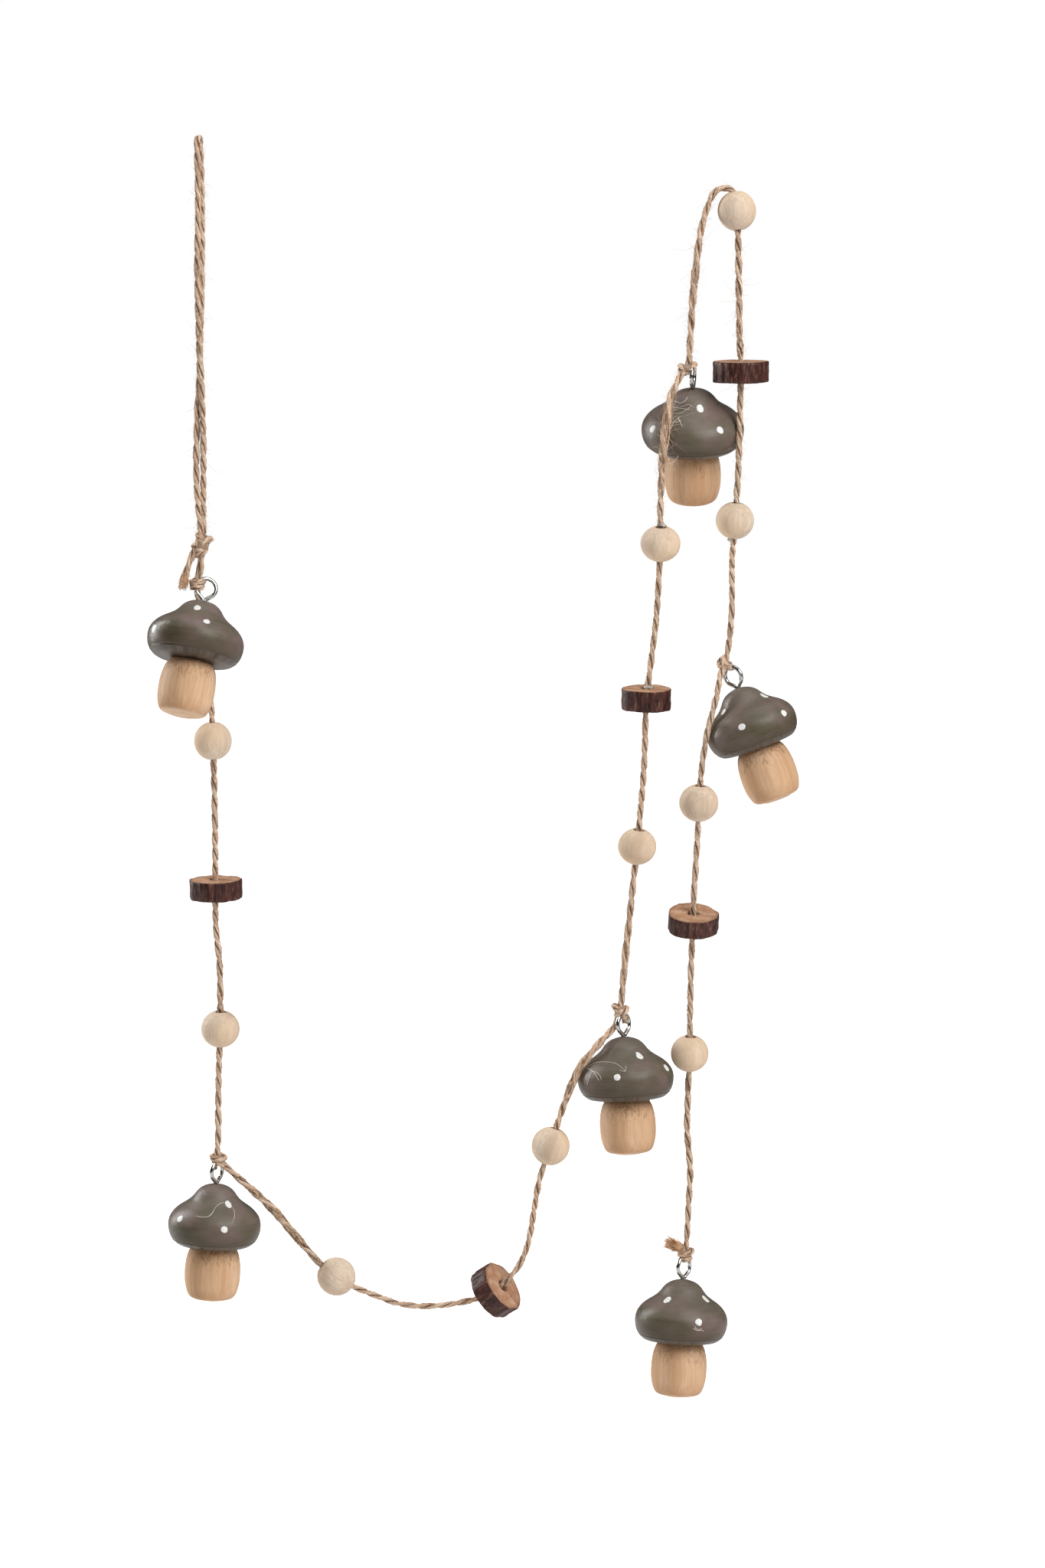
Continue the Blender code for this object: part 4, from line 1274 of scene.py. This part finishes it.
def add_curls():
    """The pale fibres on the caps and two that hang free."""
    threads = Threads(4)
    for number, corners in CURLS:
        face = CapFace(number, MUSHROOMS[number - 1])
        line = []
        for i, (turn, depth) in enumerate(corners):
            lift = CURL_LIFTS[i % 2]
            line.append(face.matrix @ (face.spot(math.radians(turn), face.run_at(depth), lift)[0] * MM))
        threads.add(smooth_curve(line, 6), CURL_WIDTH * MM, 0.6)
    for corners in FREE_CURLS:
        threads.add(smooth_curve(corners, 6), FREE_CURL_WIDTH * MM, 0.6)
    threads.make("curled_fibres", LINT, "jute", 6)


def add_stem(number, matrix):
    outline = STEM_TOP_ROWS + rounded(STEM_SIDE + STEM_FOOT[:-1], 5) + STEM_FOOT[-1:]

    def uneven(_, angle, radius, height):
        return radius * turned_share(0.008, angle, 1.0, height * 0.1 + number * 5), height

    verts, faces = lathe([(radius, -depth) for radius, depth in outline], STEM_SEGMENTS, uneven)
    add_mesh(
        f"stem_{number}_turned", verts, faces, [STEM_WOOD], [f"stem_{number}"], number + 10,
        matrix=matrix,
    )


def add_eye(number, mushroom, matrix):
    """A bent wire: a shank, and a ring that ends beside the neck."""
    ring = []
    for i in range(EYE_POINTS):
        angle = math.radians(EYE_START - i * EYE_STEP)
        ring.append((EYE_OFFSET + EYE_RADIUS * math.cos(angle), EYE_CENTRE + EYE_RADIUS * math.sin(angle)))
    corners = [Vector((x, 0, z)) * MM for x, z in EYE_SHANK + ring + EYE_END]
    wire = Threads(WIRE_SIDES)
    wire.add(smooth_curve(corners, 6), WIRE * MM, 1.0)
    turned = matrix @ Matrix.Rotation(math.radians(mushroom.eye_turn), 4, "Z")
    wire.make(f"eye_{number}_wire", STEEL, "steel", number + 20, [f"eye_{number}"], turned)


for number, mushroom in enumerate(MUSHROOMS, 1):
    matrix = mushroom_matrix(mushroom)
    add_cap(number, mushroom, matrix)
    add_dots(number, mushroom, matrix)
    add_stem(number, matrix)
    add_eye(number, mushroom, matrix)
add_curls()


# Beads and slices

BORE_RADIUS = 1.6
BEAD_MOUTH = 2.05
# How much wider the hole is, and how deep under the bead's end
BEAD_CHAMFER = [(0.12, 0.35), (0.0, 0.8)]
BEAD_STEPS = 24
BEAD_SEGMENTS = 56
SLICE_BORE_RADIUS = 1.9
SLICE_SEGMENTS = 110
SLICE_CHAMFER = 0.25
BARK_ROWS = 9
# The bark's outline: how strong each wave is, how often it comes round, and its share of the slice's wobble
BARK_WAVES = [(0.025, 2, 1), (0.02, 3, 2), (0.012, 9, 3)]
FACE_SHARES = (0.35, 0.6, 0.8, 0.92, 0.965)

# How many degrees further than its solid each one tips its top to the viewer. Where it is 4 or 5, the twine
# touches the wall of the hole in most of them.
BEAD_TIPS = [5, 5, 0, 0, 4, 5, 0, 0, 4, 4]
SLICE_TIPS = [0, 0, 0, -2, 0]


def heading_at(line, place):
    """The direction in which the smooth line runs where it is nearest to the place."""
    nearest = min(range(1, len(line) - 1), key=lambda i: (line[i] - place).length)
    return (line[nearest + 1] - line[nearest - 1]).normalized()


def threaded_matrix(piece, tip, line):
    """The place of a drilled piece whose hole follows the twine, with its own nod and roll."""
    place = at(piece)
    heading = heading_at(line, place)
    if heading.z > 0:
        heading = -heading
    follow = Vector((0, 0, -1)).rotation_difference(heading).to_matrix().to_4x4()
    nod = Matrix.Rotation(math.radians(piece.nod + tip), 4, "X")
    roll = Matrix.Rotation(math.radians(piece.roll), 4, "Y")
    return Matrix.Translation(place) @ roll @ nod @ follow


def add_bead(number, piece, tip, line):
    half = piece.height / 2
    sweep = math.acos(BEAD_MOUTH / (piece.width / 2))
    rows = []
    for i in range(BEAD_STEPS + 1):
        angle = sweep * (1 - i / (BEAD_STEPS / 2))
        rows.append((piece.width / 2 * math.cos(angle), half * math.sin(angle) / math.sin(sweep)))
    rows += [(BORE_RADIUS + wider, -half + depth) for wider, depth in BEAD_CHAMFER]
    rows.append((BORE_RADIUS, 0))
    rows += [(BORE_RADIUS + wider, half - depth) for wider, depth in BEAD_CHAMFER[::-1]]

    def uneven(_, angle, radius, height):
        return radius * turned_share(0.008, angle, 1.0, height * 0.15 + number * 3), height

    verts, faces = lathe(rows, BEAD_SEGMENTS, uneven, close=True)
    add_mesh(
        f"bead_{number:02d}_turned", verts, faces, [BEAD_WOOD], [f"bead_{number:02d}"],
        number + 30, matrix=threaded_matrix(piece, tip, line),
    )


def bark_radius(piece, angle):
    """The slice's outline: not quite round, with the bark's ridges."""
    share = 1
    for amount, count, shift in BARK_WAVES:
        share += amount * math.sin(count * angle + shift * piece.wobble)
    return piece.width / 2 * share


def add_slice(number, piece, tip, line):
    half = piece.thickness / 2
    bore = SLICE_BORE_RADIUS
    edge = piece.width / 2
    face = [bore, bore + SLICE_CHAMFER, bore + 0.6] + [bore + (edge - bore) * share for share in FACE_SHARES]
    heights = [half - SLICE_CHAMFER] + [half] * (len(face) - 1)
    rows = list(zip(face, heights))
    rows += [(edge, half * (1 - 2 * (i + 0.35) / (BARK_ROWS - 0.3))) for i in range(BARK_ROWS)]
    rows += [(radius, -height) for radius, height in zip(face[::-1], heights[::-1])]
    first_side = len(face)
    after_side = first_side + BARK_ROWS

    def rough(row, angle, radius, height):
        share = (radius - bore) / (edge - bore)
        where = on_circle(angle, number * 5, 3.2)
        lump = 0.32 * noise.noise(where) - 0.5 * max(0.0, noise.noise(where * 1.7) - 0.25)
        if first_side <= row < after_side:
            lump += 0.22 * noise.noise(Vector((where.x * 2, where.y * 2, height * 0.55 + number * 5)))
            lump -= 0.10
        tilt = 0.16 * noise.noise(where * 0.4) * share
        chip = 0.10 * noise.noise(where * 2.3) if share > 0.85 else 0.0
        reach = bore + (bark_radius(piece, angle) + lump - bore) * share
        return reach, height + (tilt + chip if height > 0 else tilt - chip)

    verts, faces = lathe(rows, SLICE_SEGMENTS, rough, close=True)
    picks = []
    for row in range(len(rows)):
        picks += [0 if first_side - 1 <= row < after_side else 1] * SLICE_SEGMENTS
    made = add_mesh(
        f"slice_{number}_sawn", verts, faces, [BARK, CUT_FACE], [f"slice_{number}"],
        number + 50, picks, threaded_matrix(piece, tip, line),
    )
    mark_spin(made, number)


for number, (piece, tip) in enumerate(zip(BEADS, BEAD_TIPS), 1):
    add_bead(number, piece, tip, twine_line)
for number, (piece, tip) in enumerate(zip(SLICES, SLICE_TIPS), 1):
    add_slice(number, piece, tip, twine_line)


# Glue

# Dried drops where a bead or slice is fixed to the twine
Drop = namedtuple("Drop", "x depth z width thickness height")
DROPS = table(
    Drop,
    (149.7, -9.6, -123.8, 3.0, 1.8, 1.5),
    (172.0, -4.4, -128.4, 1.9, 1.5, 1.2),
    (145.7, -7.5, -176.3, 3.0, 1.9, 1.3),
    (4.0, 5.0, -247.1, 2.6, 1.6, 1.1),
)
GLUE_STRINGS = [
    places((174.2, -5.3, -77.6), (174.6, -5.3, -79.4), (174.5, -5.2, -81.3)),
    places((175.9, -5.1, -77.6), (175.6, -5.3, -79.0), (175.5, -5.2, -80.4)),
]
GLUE_STRING_WIDTH = 0.34
DROP_RINGS = 10
DROP_SIDES = 18


def add_glue():
    """Drops of dried glue, lumpy and a little flattened, and two strings of it."""
    verts = []
    faces = []
    for number, drop in enumerate(DROPS):
        first = len(verts)
        for ring in range(DROP_RINGS + 1):
            polar = math.pi * ring / DROP_RINGS
            for j in range(DROP_SIDES):
                way = on_circle(TURN * j / DROP_SIDES, math.cos(polar), math.sin(polar))
                swell = 0.5 * (1 + 0.45 * noise.noise(way * 1.2 + Vector((number * 5.1, 0, 0))))
                spot = Vector((way.x * drop.width, way.y * drop.thickness, way.z * drop.height)) * swell
                verts.append(at(drop) + spot * MM)
        for ring in range(DROP_RINGS):
            start = first + ring * DROP_SIDES
            faces += ring_faces(start + DROP_SIDES, start, DROP_SIDES)
    add_mesh("glue_drops", verts, faces, [GLUE], seed=70)
    strings = Threads(8)
    for corners in GLUE_STRINGS:
        strings.add(smooth_curve(corners, 5), GLUE_STRING_WIDTH * MM, 0.6)
    strings.make("glue_strings", GLUE, "", 71)


add_glue()


# Floor and light

FLOOR_REACH = 14.0
FLOOR_HEIGHT = -0.52
# What is seen in glossy surfaces: brightness by how far round the studio it is, from the viewer to the back
GLOSS_BANDS = [(0.0, 0.03), (0.31, 0.04), (0.40, 0.90), (0.50, 0.70), (0.58, 0.05), (1.0, 0.08)]


def add_floor():
    """A pale floor that is plain white in the picture."""
    paint = Paint("floor_paint")
    shade = paint.noise((0.002, 0.002, 0.002), 1.0)
    colour = paint.ramp(shade, [(0.3, (0.93, 0.93, 0.93)), (0.7, (0.96, 0.96, 0.96))])
    seen = paint.nodes.new("ShaderNodeLightPath").outputs["Is Camera Ray"]
    paint.finish(colour, 0.9, Emission_Color=WHITE, Emission_Strength=seen)
    mesh = bpy.data.meshes.new("floor")
    sides = [(-1, -1), (1, -1), (1, 1), (-1, 1)]
    corners = [(x * FLOOR_REACH, y * FLOOR_REACH, FLOOR_HEIGHT) for x, y in sides]
    mesh.from_pydata(corners, [], [(0, 1, 2, 3)])
    mesh.materials.append(paint.material)
    floor = bpy.data.objects.new("floor", mesh)
    bpy.context.scene.collection.objects.link(floor)
    add_vectors(floor, "grain", [v.co / MM for v in mesh.vertices])


def add_area(name, place, target, size, power, shine=1.0, softness=1.0):
    """A panel light. shine and softness are its shares in what is glossy and what is matt."""
    data = bpy.data.lights.new(name, "AREA")
    data.shape = "RECTANGLE"
    data.size, data.size_y = size
    data.energy = power
    data.specular_factor = shine
    data.diffuse_factor = softness
    add_aimed(name, data, place, target)


def add_world():
    """Plain white for the camera, dim for soft light, and bright bands at the sides for what is glossy."""
    world = bpy.data.worlds.new("studio")
    world.use_nodes = True
    studio = Nodes(world.node_tree)
    background = studio.nodes["Background"]
    path = studio.nodes.new("ShaderNodeLightPath").outputs
    way = studio.nodes.new("ShaderNodeTexCoord").outputs["Generated"]
    ways = studio.node("ShaderNodeSeparateXYZ", Vector=way).outputs
    greys = [(place, (light, light, light)) for place, light in GLOSS_BANDS]
    bands = studio.ramp(studio.level(ways["Y"], -1.0, 1.0), greys)
    glossy = studio.mix(path["Is Glossy Ray"], studio.level(ways["Y"], -0.7, 0.6, 0.10, 0.34), bands)
    dimmed = studio.maths("MULTIPLY", glossy, studio.level(ways["X"], -0.9, 0.25, 0.13, 1.0))
    studio.feed(background.inputs["Color"], WHITE)
    studio.feed(background.inputs["Strength"], studio.mix(path["Is Camera Ray"], dimmed, WHITE))
    bpy.context.scene.world = world


add_floor()
add_world()
add_area("key", (0.95, -1.05, 0.75), (0.11, 0, -0.2), (1.0, 1.0), 25, 0.15)
add_area("left_strip", (-0.75, 0.43, 0.1), (0.08, 0, -0.22), (0.10, 0.9), 9, 1.0, 0.05)
add_area("top_soft", (0.1, -0.1, 1.0), (0.1, 0, -0.2), (0.9, 0.9), 4)

scene = bpy.context.scene
scene.view_settings.view_transform = "Standard"
